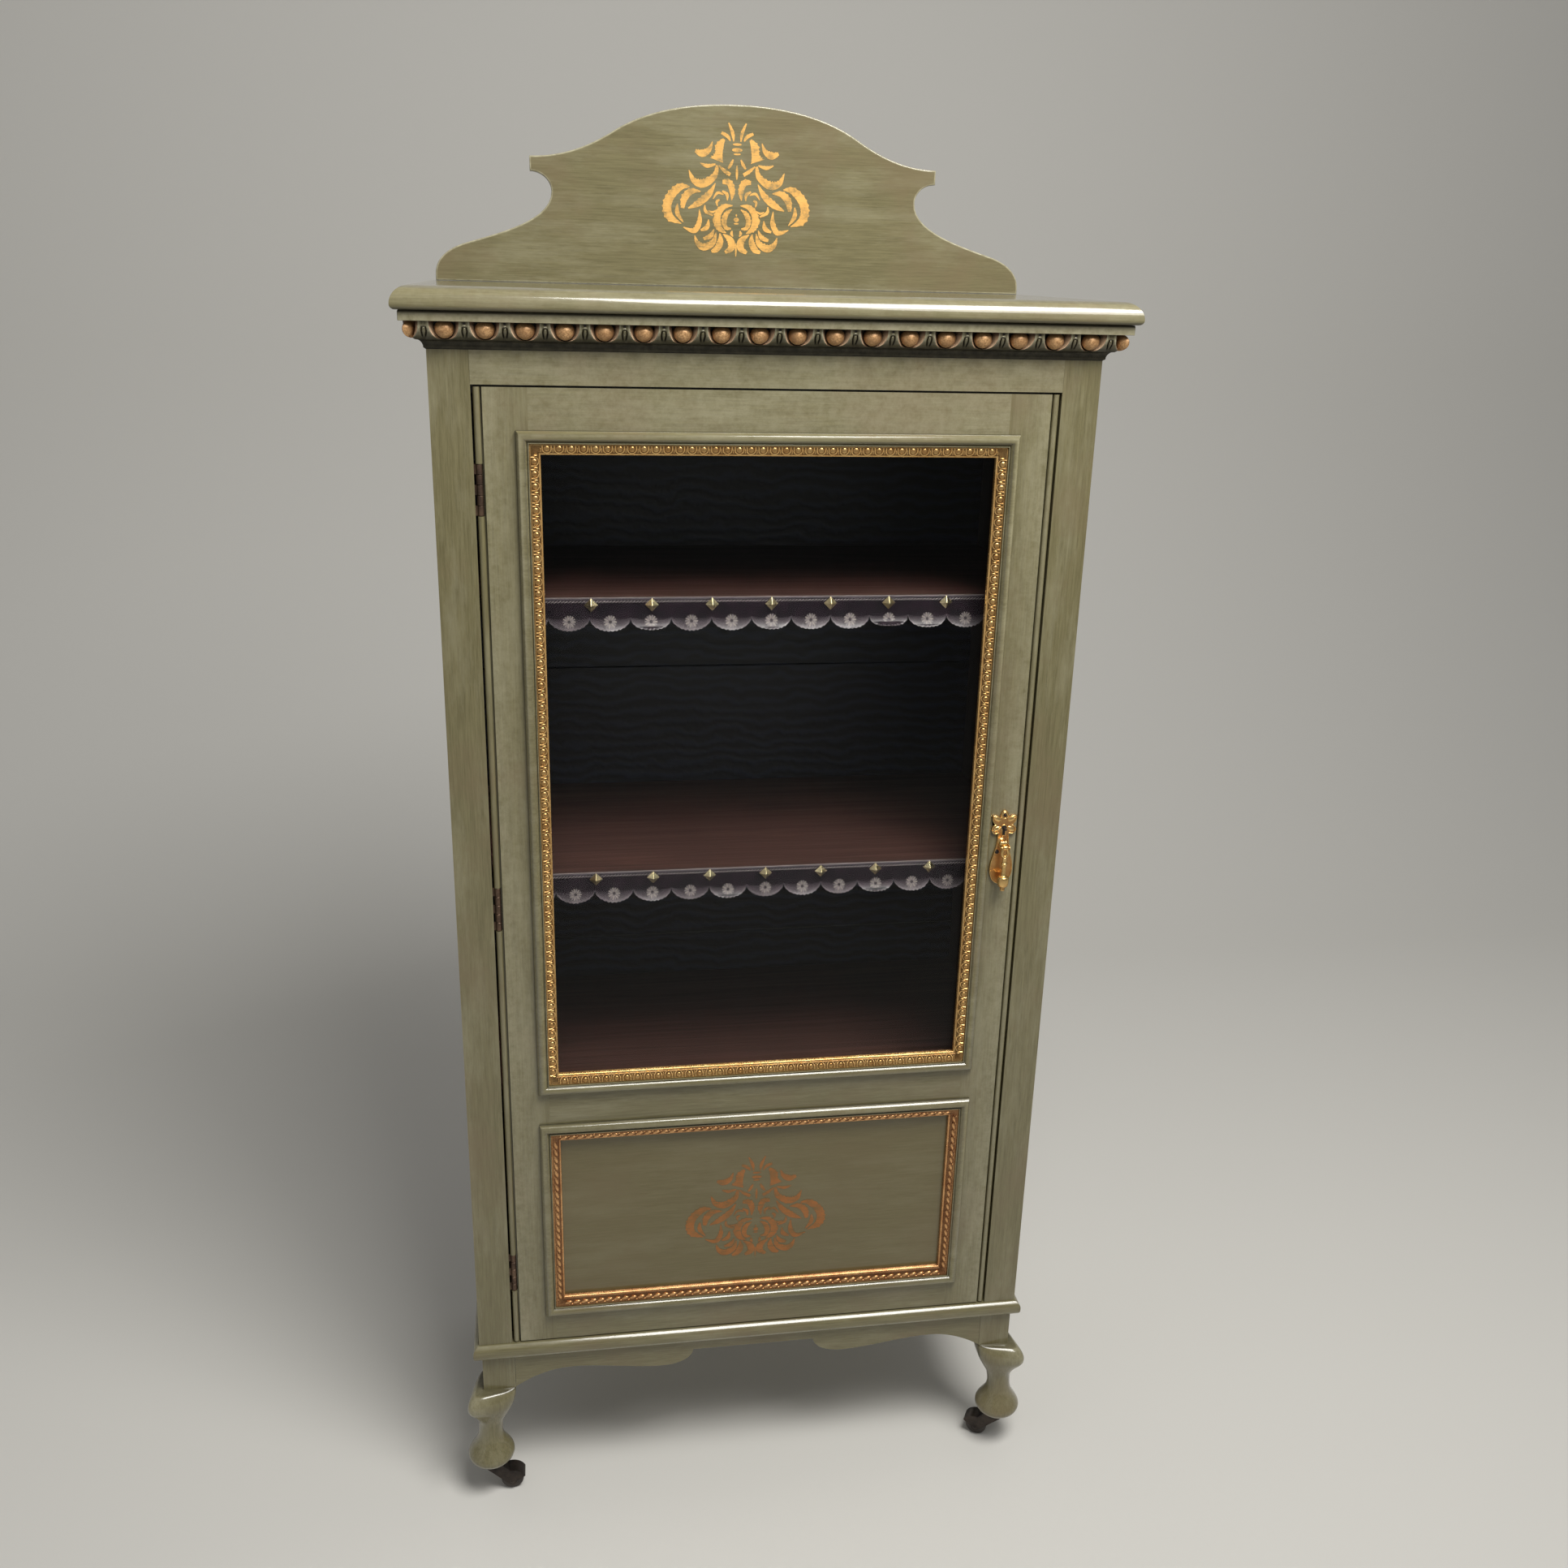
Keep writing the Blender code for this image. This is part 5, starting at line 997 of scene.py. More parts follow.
# The carved curve, as (height, how far out)
OVOLO = ((8.8, 8.9), (12.1, 13.4), (15.6, 16.3), (19.0, 18.3), (25.1, 19.2))
# The core behind the carving and the fillets over and under it, as (how far out, height, tone)
# Its tones: painted shade and grime in the cavetto at the foot, behind the carving and under the top board; a
# painted highlight on the fillet, with a painted shadow line along its top
CORNICE_CORE = (
    (0.3, 0.0, -1.0), (2.2, 1.5, -0.85), (2.3, 3.2, -0.9), (2.9, 4.9, -0.9), (4.0, 6.6, -0.9),
    (5.6, 8.0, -0.95), (7.3, 8.5, -0.95), (8.7, 8.6, -0.8), (8.8, 9.0, -0.8), (7.2, 9.2, -1.0),
    (7.2, 25.1, -1.0), (21.6, 25.1, -0.5), (22.0, 25.4, 0.5), (22.0, 31.8, 0.4), (22.0, 32.8, -0.7),
    (21.5, 34.2, -0.9), (0.3, 34.2, 0.0),
)


def cup_widths(z):
    """Half widths of a cup at its front and at its back, at a height."""
    if z <= CUP_HEAD - CUP_DEPTH or z > CUP_HEAD + 0.5:
        return 0.0, 0.0
    share = max(0.0, 1 - ((CUP_HEAD - z) / CUP_DEPTH) ** 2.6) ** 0.385 if z < CUP_HEAD else 1.0
    return CUP_FRONT_HALF * share, CUP_BACK_HALF * share


def dart_relief(t, z):
    """How far the dart's face is cut back, at a distance from its middle and a height."""
    groove = 1.6 * between(z, DART_DEPTHS) * math.exp(-(((t - between(z, DART_HALVES)) / 0.65) ** 2))
    return groove + 1.0 * math.exp(-((t / 1.4) ** 2)) * math.exp(-(((z - 20.2) / 0.7) ** 2))


def carve_half(shape, place, middle, side, has_cup):
    """Half a dart, to one side of its middle, and the wall of the cup next to it."""
    dart_rows, wall_rows, dart_tones, wall_tones = [], [], [], []
    for z in CUT_HEIGHTS:
        front, back = cup_widths(z) if has_cup else (0.0, 0.0)
        out = between(z, OVOLO)
        edge = EGG_PITCH / 2 - front
        g = between(z, DART_HALVES)
        row = []
        stops = (0, 0.35, 0.8, 1.6, g - 0.9, g - 0.4, g, g + 0.5, g + 1.1, edge - 1.5, edge - 0.7, edge)
        for i, stop in enumerate(stops):
            t = min(stop, edge - 0.02 * (len(stops) - 1 - i))
            relief = dart_relief(t, z)
            rounding = 0.35 * max(0.0, t - edge + 0.8) ** 2 if front else 0.0
            row.append(place(middle + side * t, out - relief - rounding, z))
            # A painted highlight along the cup's rim and on the dart's upper part; painted shade in its
            # grooves, and grime and painted shade at its foot and head
            wear_and_highlight = (0.8 if i == 10 and front else 0.0) + (0.35 if i > 7 and z > 16 else 0.0)
            dart_tones.append(wear_and_highlight - relief * 0.75 - between(z, DART_GRIME_AND_SHADE))
        dart_rows.append(row)
        wall = [row[-1]]
        for share in (0.35, 0.7, 1.0):
            t = edge + (front - back) * share
            wall.append(place(middle + side * t, out - 0.35 + (CUP_BACK_OUT - out + 0.35) * share, z))
        wall_rows.append(wall)
        # The walls are lit as a painted highlight, with painted shade toward their top
        shade = between(z, WALL_SHADES)
        wall_tones += [1.0 + shade, 1.0 + shade, 1.0 + shade, 0.2 + shade]
    shape.skin(dart_rows, dart_tones, closed=False, caps=False)
    shape.skin(wall_rows, wall_tones, slot=1, closed=False, caps=False)


def carve_egg(shape, place, middle):
    loops, tones = [], []
    for i in range(15):
        tilt = math.pi * i / 14
        across = max(math.sin(tilt), 0.01)
        loop = []
        for turn in turns(24):
            x = EGG_HALF_WIDTH * math.cos(turn) * across
            z = EGG_HALF_HEIGHT * math.sin(turn) * across
            out = EGG_OUT + EGG_HALF_HEIGHT * math.cos(tilt)
            loop.append(place(middle + x * (1 + 0.012 * z), out, EGG_RISE + z))
            # Painted shade darkens the egg's sides and top; its front is lighter, a painted highlight
            grime_and_shade = between(abs(x) / 9.2, [(0.72, 0), (1, 0.9)]) + between(z, [(4.5, 0), (8.2, 0.8)])
            tones.append(0.25 * math.cos(tilt) - grime_and_shade)
        loops.append(loop)
    shape.skin(loops, tones, slot=3)


def cornice_run(node, origin, along, outward, length, mitred_end, material):
    """One length of the cornice, mitred at its start, and at its end where that is a corner too."""
    def place(s, out, z):
        s = max(s, MITRE_GAP - out)
        s = min(s, length + out - MITRE_GAP) if mitred_end else min(s, length)
        return origin + (along * s + outward * out + Z * z) * MM

    shape = Shape()
    ends = [[place(s, out, z) for out, z, tone in CORNICE_CORE] for s in (-100.0, length + 100.0)]
    shape.skin(ends, [tone for out, z, tone in CORNICE_CORE])
    half = EGG_PITCH / 2
    count = round(length / EGG_PITCH) if mitred_end else int(length / EGG_PITCH)
    eggs = [EGG_PITCH * (k - 0.5) for k in range(count + 2)]
    if not mitred_end:
        eggs = [egg for egg in eggs if egg + half < length]
    for k in range(count + 1):
        middle = EGG_PITCH * k
        for side in (-1, 1):
            has_cup = any(abs(middle + side * half - egg) < 1 for egg in eggs)
            carve_half(shape, place, middle, side, has_cup)
        if 5 < middle < length - 5:
            # A dark spot on each dart stands for a drilled hole, as painted shade
            bead, eye = place(middle, 19.0, 23.7), place(middle, 18.55, 21.6)
            shape.ellipsoid(bead, (along * 1.25, Z * 1.15, outward * 0.5), slot=2, segments=10, rings=5)
            shape.ellipsoid(eye, (along * 1.9, Z * 0.8, outward * 0.8), 0.9, segments=8, rings=5)
    for egg in eggs:
        carve_egg(shape, place, egg)
    materials = [material, PALE_COPPER, DARK_METAL_AND_HOLE_SHADE, COPPER]
    piece(f"{node}_carved", shape, materials, "carcass", [node], sharp=50)


def cornices():
    left = Vector((-HALF_WIDTH, FACE_Y, CORNICE_FOOT_Z))
    right = Vector((HALF_WIDTH, FACE_Y, CORNICE_FOOT_Z))
    cornice_run("cornice_front", left, X, -Y, FRONT_LENGTH, True, PAINT_X)
    cornice_run("cornice_left", left, Y, -X, SIDE_LENGTH, False, PAINT_Y)
    cornice_run("cornice_right", right, Y, X, SIDE_LENGTH, False, PAINT_Y)


# Stencilled ornament, in millimetres from the foot of its middle line: the leaves of its right half, as
# the (x, z) places and the widths along each, and its middle marks, as (x, z), half width, half height

LEAVES = (
    (((4.0, 119.8), (5.3, 128.3), (9.8, 138.5)), (1.0, 3.4, 1.2)),
    (((7.7, 120.3), (11.0, 124.9), (17.8, 128.3)), (1.2, 3.4, 2.6)),
    (((14.7, 122.0), (19.5, 114.6), (20.4, 106.7), (22.5, 99.9)), (2.5, 8.0, 7.5, 13.0)),
    (((24.0, 96.0), (33.0, 94.0), (41.0, 96.5)), (1.5, 3.6, 1.0)),
    (((27.6, 119.0), (31.0, 111.0), (38.5, 106.5), (46.5, 109.0)), (0.6, 4.5, 6.8, 3.0)),
    (((4.3, 101.5), (6.7, 96.5), (9.8, 92.0)), (1.2, 3.0, 1.6)),
    (((20.2, 94.8), (14.0, 89.7), (7.4, 85.7)), (1.2, 3.4, 3.4)),
    (((22.0, 95.0), (25.0, 84.0), (37.4, 75.8), (48.0, 78.5), (53.5, 89.0)), (2.5, 5.5, 7.8, 5.5, 0.8)),
    (((5.5, 59.0), (5.0, 69.0), (8.5, 77.5), (16.0, 78.0)), (0.8, 5.5, 6.0, 3.8)),
    (((10.4, 59.0), (10.8, 65.2), (16.2, 68.7)), (0.8, 3.2, 1.8)),
    (((14.7, 65.0), (21.4, 66.6), (26.3, 60.2)), (1.2, 2.6, 0.8)),
    (((19.0, 59.6), (22.2, 57.4), (21.4, 52.6)), (1.8, 2.6, 0.8)),
    (((23.9, 76.5), (31.2, 64.7), (42.3, 55.6), (54.2, 49.6)), (0.8, 5.8, 6.4, 1.2)),
    (((40.4, 67.5), (50.9, 67.2), (58.4, 60.0), (60.5, 49.6)), (1.0, 5.8, 6.6, 3.4)),
    (((52.7, 72.0), (63.0, 71.4), (73.4, 62.4), (77.8, 51.0), (74.6, 40.0), (61.9, 33.5)),
     (1.0, 6.6, 8.2, 8.6, 7.6, 0.8)),
    (((77.0, 47.0), (80.0, 48.6), (82.0, 52.0)), (3.4, 3.0, 0.8)),
    (((66.2, 54.0), (66.2, 44.3), (59.4, 34.6)), (1.2, 4.4, 0.8)),
    (((35.5, 53.6), (34.8, 47.4), (26.4, 42.8)), (1.0, 3.2, 1.4)),
    (((22.4, 48.6), (27.0, 46.4), (31.4, 48.0)), (0.8, 2.2, 0.8)),
    (((4.3, 53.9), (14.0, 52.4), (20.4, 45.4), (21.6, 36.3), (18.4, 29.5), (11.4, 25.0)),
     (0.8, 5.0, 6.6, 7.2, 5.6, 0.8)),
    (((23.0, 35.0), (25.0, 36.6), (26.8, 39.4)), (2.4, 2.2, 0.6)),
    (((4.9, 49.8), (11.0, 45.2), (13.8, 37.5), (11.6, 30.6), (5.8, 29.6)), (0.8, 4.6, 5.2, 3.8, 1.6)),
    (((4.3, 27.4), (5.2, 24.4), (3.6, 21.4)), (1.2, 2.8, 1.0)),
    (((14.7, 23.8), (6.4, 17.4), (5.2, 9.4), (12.3, 4.4)), (1.0, 6.4, 6.6, 3.0)),
    (((18.4, 24.4), (17.6, 15.9), (21.6, 8.0), (27.8, 5.0)), (1.0, 5.8, 6.0, 2.6)),
    (((22.7, 25.2), (26.0, 14.8), (36.0, 9.4), (43.5, 13.4), (46.8, 21.4)), (0.8, 5.4, 6.8, 4.8, 0.8)),
    (((25.0, 28.6), (28.8, 21.4), (36.9, 18.0)), (0.8, 4.6, 2.8)),
    (((31.2, 38.8), (32.8, 30.6), (40.0, 27.0)), (0.8, 4.6, 2.0)),
    (((41.7, 49.0), (41.4, 36.3), (47.4, 26.4), (59.6, 29.8)), (0.6, 4.8, 5.0, 0.8)),
)
LEAF_STEP = 0.004 * MM
MIDDLE_MARKS = (
    ((0, 116.9), 5.0, 1.3), ((0, 111.2), 5.8, 2.1), ((0, 107.0), 4.0, 1.1), ((0, 88.0), 1.3, 7.4),
    ((0, 43.7), 0.9, 1.3), ((0, 39.2), 3.0, 2.3), ((0, 35.0), 2.8, 0.9), ((0, 7.4), 0.9, 7.4),
)


def stencil(name, y, foot_z, material, body):
    """The ornament as a skin on a flat surface, its leaves lightly toothed along the outer side."""
    chooser = random.Random(7)
    shape = Shape()
    for side in (1, -1):
        for number, (centres, widths) in enumerate(LEAVES):
            lift = y - number * LEAF_STEP
            path = curve([(*centre, width) for centre, width in zip(centres, widths)], 8)
            left, right = [], []
            for i, (x, z, width) in enumerate(path):
                before, after = path[max(i - 1, 0)], path[min(i + 1, len(path) - 1)]
                run = Vector((after[0] - before[0], after[1] - before[1]))
                normal = Vector((-run.y, run.x)).normalized()
                tooth = 1 + (0.22 if i % 3 == 0 else -0.04) * min(1.0, width / 6)
                ragged = 0.56 * width * (1 + chooser.uniform(-0.05, 0.05))
                a = Vector((x, z)) + normal * ragged * tooth
                b = Vector((x, z)) - normal * ragged
                left.append((side * a.x * MM, lift, foot_z + a.y * MM))
                right.append((side * b.x * MM, lift, foot_z + b.y * MM))
            shape.skin([left, right], closed=False, caps=False)
    for (x, z), wide, tall in MIDDLE_MARKS:
        ring = arc((x * MM, foot_z + z * MM), (wide * MM, tall * MM), 0, 345, 23)
        shape.add([(u, y, v) for u, v in ring], [tuple(range(len(ring)))])
    piece(name, shape, [material], body)


def stencils():
    """Each ornament's foot is a given height above the base board's top."""
    for name, y, rise, material, body in (
        ("upstand_stencil", low("upstand").y, 1.209, STENCIL_GOLD, "carcass"),
        ("panel_stencil", PANEL_Y, 0.090, STENCIL_FADED, "door"),
    ):
        stencil(name, y - SKIN, BASE_TOP_Z + rise, material, body)


# Leather edgings, in millimetres: a band, and scallops that hang from it

SCALLOPS = 13
SCALLOP_PITCH = 41.4
HALF_LENGTH = SCALLOPS * SCALLOP_PITCH / 2
BAND = 20.0
DROP = 14.5
LEATHER_THICKNESS = 1.6
EDGING_SHIFT = 6.5
TEETH = 10
TWIST_PITCH = 3.4
ROSETTE_DROP = 4.6
STUDS = 9
STUD_PITCH = 61.6
STUD_DROP = 7.5
# How far each scallop curls forward, in radians at its tip
CURLS = {
    "upper": (0.4, 0.12, 0.8, 1.2, 0.5, 0.7, 1.0, 0.8, 0.9, 1.6, 1.1, 0.8, 0.6),
    "middle": (0.7, 0.3, 0.6, 0.9, 0.5, 1.1, 0.4, 0.8, 0.6, 1.2, 0.7, 0.5, 0.9),
}
# Tones down the front of the strip, from its top edge to the scallops' edge: a darker crease where the
# scallops turn, then lighter toward their curled tips, rubbed wear and a painted highlight
LEATHER_TONES = [2.0, 1.0, 0.0, 0.0, 0.0, -0.2, 0.2, 0.35, 0.55, 0.9, 1.2]


def scallop_columns():
    """Places along the strip with the depth of its scallops there, each scallop's edge in small teeth."""
    columns = []
    for k in range(SCALLOPS):
        for i in range(4 * TEETH):
            u = i / (4 * TEETH)
            tooth = 0.89 + 0.11 * abs(math.sin(math.pi * u * TEETH))
            depth = DROP * math.sqrt(max(0.0, 1 - (2 * u - 1) ** 2)) * tooth
            columns.append((-HALF_LENGTH + SCALLOP_PITCH * (k + u), depth))
    return columns + [(HALF_LENGTH, 0.0)]


def rope_line(strip, on_leather):
    axes = (Vector((2.1, 0, 1.2)), Vector((-0.35, 0, 0.55)), Vector((0, -0.45, 0)))
    for i in range(int(2 * HALF_LENGTH / TWIST_PITCH)):
        centre = on_leather(-HALF_LENGTH + TWIST_PITCH * (i + 0.5), 4.4, LEATHER_THICKNESS)
        strip.ellipsoid(centre, axes, 1.2, segments=8, rings=4)


def rosette(strip, on_leather, middle):
    """A ring of petals at the head of a scallop, and ribs that spread from it to the scallop's edge."""
    head = BAND + ROSETTE_DROP
    for petal in range(14):
        angle = math.tau * petal / 14
        u, v = math.cos(angle), math.sin(angle)
        points = [
            on_leather(middle + u * reach - v * wide, head + v * reach + u * wide, LEATHER_THICKNESS + 0.2)
            for reach, wide in ((1.6, 0.3), (4.2, 0.9), (6.6, 0.7), (6.6, -0.7), (4.2, -0.95), (1.6, -0.3))
        ]
        strip.add(points, [tuple(range(6))], 1.2 if petal % 2 else 1.5)
    for rib in range(15):
        spread = (rib - 7) / 7 * 1.42
        u, v = math.sin(spread), math.cos(spread)
        aside = min(1.0, abs(u * 14) / (SCALLOP_PITCH / 2))
        reach = (DROP - ROSETTE_DROP) * math.sqrt(max(0.05, 1 - aside ** 2)) - 1.2
        if reach > 7.6:
            points = [
                on_leather(middle + u * along - v * wide, head + v * along, LEATHER_THICKNESS + 0.15)
                for along, wide in ((7.2, 0.2), (reach, 0.38), (reach, -0.38), (7.2, -0.2))
            ]
            strip.add(points, [(0, 1, 2, 3)], 1.35)


def edging(word):
    """A scalloped strip with a tooled rope line, a rosette in each scallop, and pyramid studs."""
    node, shelf = f"dust_edging_{word}", f"shelf_{word}"
    top_z, back_y = high(shelf).z, low(shelf).y - GAP
    curls = CURLS[word]

    def on_leather(x, d, lift):
        """A place on the strip: x along it, d below its top edge, lift in front of its back."""
        k = min(int((x + HALF_LENGTH) / SCALLOP_PITCH), SCALLOPS - 1)
        sway = 0.25 * math.sin(x * 0.11 + curls[0]) + 0.2 * math.sin(x * 0.29)
        x += EDGING_SHIFT
        if d <= BAND:
            return Vector((x * MM, back_y - (lift + max(0.0, d - 12) * 0.02) * MM, top_z - d * MM))
        radius = DROP / curls[k]
        angle = (d - BAND) / radius
        out = radius * (1 - math.cos(angle)) + lift * math.cos(angle) + 0.16 + sway * (d - BAND) / DROP
        down = BAND + radius * math.sin(angle) + lift * math.sin(angle)
        return Vector((x * MM, back_y - out * MM, top_z - down * MM))

    strip = Shape()
    rings = []
    columns = scallop_columns()
    for x, depth in columns:
        drops = [0, 0.5, 3, 6, 12, BAND]
        drops += [BAND + max(depth, 0.4) * share for share in (0.25, 0.5, 0.75, 0.92, 1.0)]
        front = [on_leather(x, d, LEATHER_THICKNESS) for d in drops]
        rings.append(front + [on_leather(x, d, 0.0) for d in reversed(drops)])
    strip.skin(rings, LEATHER_TONES + [0.0] * len(LEATHER_TONES))
    rope_line(strip, on_leather)
    for k in range(SCALLOPS):
        rosette(strip, on_leather, -HALF_LENGTH + SCALLOP_PITCH * (k + 0.5))
    leather = piece(f"{node}_leather", strip, [LEATHER], "carcass", [node], sharp=45)
    studs = Shape()
    stud_y = back_y - (LEATHER_THICKNESS + 0.2) * MM
    for i in range(STUDS):
        x = STUD_PITCH * (i - STUDS // 2) + EDGING_SHIFT
        centre = Vector((x * MM, stud_y, top_z - STUD_DROP * MM))
        studs.skin([
            [centre + Vector((size * u, -out, size * v)) * MM for u, v in ((-1, 0), (0, -1), (1, 0), (0, 1))]
            for size, out in ((7.0, -0.6), (7.0, 0.9), (6.3, 1.3), (0.5, 5.8))
        ])
    piece(f"{node}_studs", studs, [STUD_BRASS], "carcass", soften=0.25 * MM)


# Hinges, handle, lock and casters

def hinge_pieces():
    thickness, play = 1.2 * MM, 0.15 * MM
    back_y = DOOR_BACK_Y - thickness
    for word in ("bottom", "middle", "top"):
        foot, head = low(f"hinge_frame_leaf_{word}").z, high(f"hinge_frame_leaf_{word}").z
        share = (head - foot) / 5
        for leaf, body, x0, first in (
            ("frame", "carcass", -HALF_OPENING - thickness, 0), ("door", "door", -HALF_DOOR, 1),
        ):
            shape = Shape()
            x1 = x0 + thickness
            front = HINGE_Y if leaf == "frame" else HINGE_Y + BEAD
            shape.box((x0, front, foot), (x1, back_y, head))
            for i in range(first, 5, 2):
                a, b = foot + share * i + play, foot + share * (i + 1) - play
                tall = (b - a) / MM
                knuckle = [(0, 0), (2.6, 0), (3, 0.4), (3, tall - 0.4), (2.6, tall), (0, tall)]
                shape.lathe(knuckle, (HINGE_X, HINGE_Y, a), Z, 24)
                if leaf == "frame":
                    shape.box((x0 + thickness / 2, HINGE_Y + GAP, a), (HINGE_X, HINGE_Y + thickness, b))
                else:
                    shape.box((x0, HINGE_Y, a), (x1, front + SKIN, b))
            if leaf == "frame":
                tall = (head - foot - 2 * GAP) / MM
                pin = [(0, 0), (1.3, 0), (1.3, tall), (0, tall)]
                shape.lathe(pin, (HINGE_X, HINGE_Y, foot + GAP), Z, 16)
                for z in (foot + 8 * MM, (foot + head) / 2, head - 8 * MM):
                    screw = Vector((x1, back_y - 5.5 * MM, z))
                    shape.ellipsoid(screw, (Y * 2.3, Z * 2.3, X * 0.35), -0.4)
            node = f"hinge_{leaf}_leaf_{word}"
            piece(f"hinge_{leaf}_{word}_worn", shape, [IRON], body, [node])


# Right half of the handle plate's outline, from the foot up, as Bezier controls in shares of its half
# width and its height
PLATE_CURVES = (
    ((0.0, 0.0), (0.62, 0.0), (0.92, 0.10), (0.92, 0.215)),
    ((0.92, 0.215), (0.92, 0.36), (0.45, 0.44), (0.45, 0.66)),
    ((0.46, 0.69), (0.70, 0.665), (0.95, 0.70), (1.0, 0.745)),
    ((1.0, 0.745), (0.95, 0.80), (0.72, 0.825), (0.50, 0.80)),
    ((0.50, 0.80), (0.78, 0.80), (0.98, 0.85), (1.0, 0.925)),
    ((1.0, 0.925), (0.80, 0.945), (0.55, 0.94), (0.30, 0.905)),
    ((0.30, 0.905), (0.38, 0.95), (0.25, 1.0), (0.0, 1.0)),
)


# In millimetres: root and tip of the two petals on its right half, and the drop handle's profile as
# (radius, height) from its pivot
PETALS = (((3.4, 66.6), (12.4, 62.8)), ((3.4, 74.0), (12.6, 78.8)))
DROP_PROFILE = (
    (0.0, -10.6), (2.2, -11.0), (2.6, -12.4), (2.4, -13.6), (2.45, -17.0), (3.4, -17.7), (3.6, -18.9),
    (3.4, -20.1), (2.45, -20.8), (2.4, -25.0), (2.5, -31.0), (3.2, -32.4), (5.2, -33.4), (6.1, -34.6),
    (6.3, -37.0), (6.25, -40.4), (5.8, -43.0), (4.6, -45.0), (2.8, -46.0), (2.3, -46.8), (2.7, -48.2),
    (2.3, -50.0), (0.0, -50.9),
)


def handle_pieces():
    lowest, highest = low("handle_plate"), high("handle_plate")
    half, tall = (highest.x - lowest.x) / 2, highest.z - lowest.z
    middle = (highest.x + lowest.x) / 2
    back = highest.y
    face = back - 2.2 * MM
    outline = mirrored(bezier_chain(PLATE_CURVES, half, tall, 8))
    pivot = Vector((middle, face - 10.5 * MM, lowest.z + 0.54 * tall))

    def at(u, v, out):
        """A place right of the plate's middle, up from its foot and out from its face, in millimetres."""
        return Vector((middle + u * MM, face - out * MM, lowest.z + v * MM))

    def rim(inset, y):
        return [(middle + u, y, lowest.z + v) for u, v in shrunk(outline, inset)]

    plate = Shape()
    plate.skin([rim(0.0, back), rim(0.0, face + 0.5 * MM), rim(0.3 * MM, face)], slot=1)
    plate.tube(rim(0.65 * MM, face), 0.75, looped=True)
    for side in (-1, 1):
        for (root_u, root_v), (tip_u, tip_v) in PETALS:
            long_u, long_v = tip_u - root_u, tip_v - root_v
            run = Vector((side * long_u, 0, long_v)) / 2
            across = Vector((-run.z, 0, run.x)).normalized() * 2.9
            centre = at(side * (root_u + tip_u) / 2, (root_v + tip_v) / 2, -0.2)
            plate.ellipsoid(centre, (run, across, Y * -1.5), segments=20, rings=12)
            ridge = [at(side * (root_u + long_u * k / 6), root_v + long_v * k / 6, 0.9) for k in range(7)]
            plate.tube(ridge, lambda share: 0.3 + 0.5 * share * (1 - share))
    ring = [at(u, v, 0.3) for u, v in arc((0, 80.4), (2.9, 3.6), 0, 345, 23)]
    plate.tube(ring, 1.1, looped=True)
    plate.ellipsoid(at(0, 80.8, 0.5), (X * 1.5, Z * 2.0, Y), slot=2)
    keyhole = arc((0, 66.4), (2.7, 2.9), -50, 230, 18) + [(-1.7, 57.2), (1.7, 57.2)]
    plate.tube([at(u * 1.2, v, 0.2) for u, v in keyhole], 0.7, looped=True)
    # A dark sheet in the keyhole, painted shade for its depth
    plate.add([at(u, v, 0.35) for u, v in keyhole], [tuple(range(len(keyhole)))], slot=2)
    lock_pin = [(0, -6.4), (1.2, -6.2), (1.35, -5.2), (1.35, 0), (0, 0)]
    plate.lathe(lock_pin, at(0.3, 65.8, 0), Y, 16, slot=2)
    plate.ellipsoid(at(-1.2, 55.4, 0.2), (X, Z * 1.1, Y * 1.2))
    post = [
        (0, -9.6), (2.2, -9.4), (3.2, -8.2), (3.2, -6), (2.6, -4), (2.6, -1.6), (4.4, -0.5), (4.6, 0),
        (0, 0),
    ]
    plate.lathe(post, at(-1.6, 50.4, 0), Y, 24)
    for side in (-1, 1):
        cheek, lug = at(-1.6 + side * 2.3, 51.0, 7.0), pivot + Vector((side * 4.3, 3.4, 0.2)) * MM
        plate.ellipsoid(cheek, (X * 2.6, Y * 3.0, Z * 2.9), segments=14, rings=10)
        plate.ellipsoid(lug, (X, Y * 6.6, Z * 2.9), segments=14, rings=10)
    plate.tube([pivot + X * (u * MM) for u in (-5.2, -2, 0, 2, 5.2)], 1.3, sides=12)
    fixing = [(0, -1.7), (1.2, -1.6), (2.2, -0.9), (2.3, 0), (0, 0)]
    plate.lathe(fixing, at(-6.0, 38.2, 0), Y, 16, slot=2)
    metals = [BRASS, BRASS_DULL, DARK_METAL_AND_HOLE_SHADE]
    piece("handle_plate_cast", plate, metals, "door", ["handle_plate"], sharp=50)

    drop = Shape()
    barrel = [(0, -3.1), (2.2, -3.0), (2.7, -2.2), (2.7, 2.2), (2.2, 3.0), (0, 3.1)]
    drop.lathe(barrel, pivot + Z * (0.2 * MM), X, 20)
    loop = [pivot + Vector((u, 0, v)) * MM for u, v in arc((0, -5.2), (3.3, 5.2), 90, 435, 23)]
    drop.tube(loop, 1.75, looped=True, sides=12)
    drop.lathe(curve(DROP_PROFILE, 3), pivot, Z, 28)
    piece("drop_handle_cast", drop, [BRASS], "drop_handle", ["drop_handle"], sharp=60)


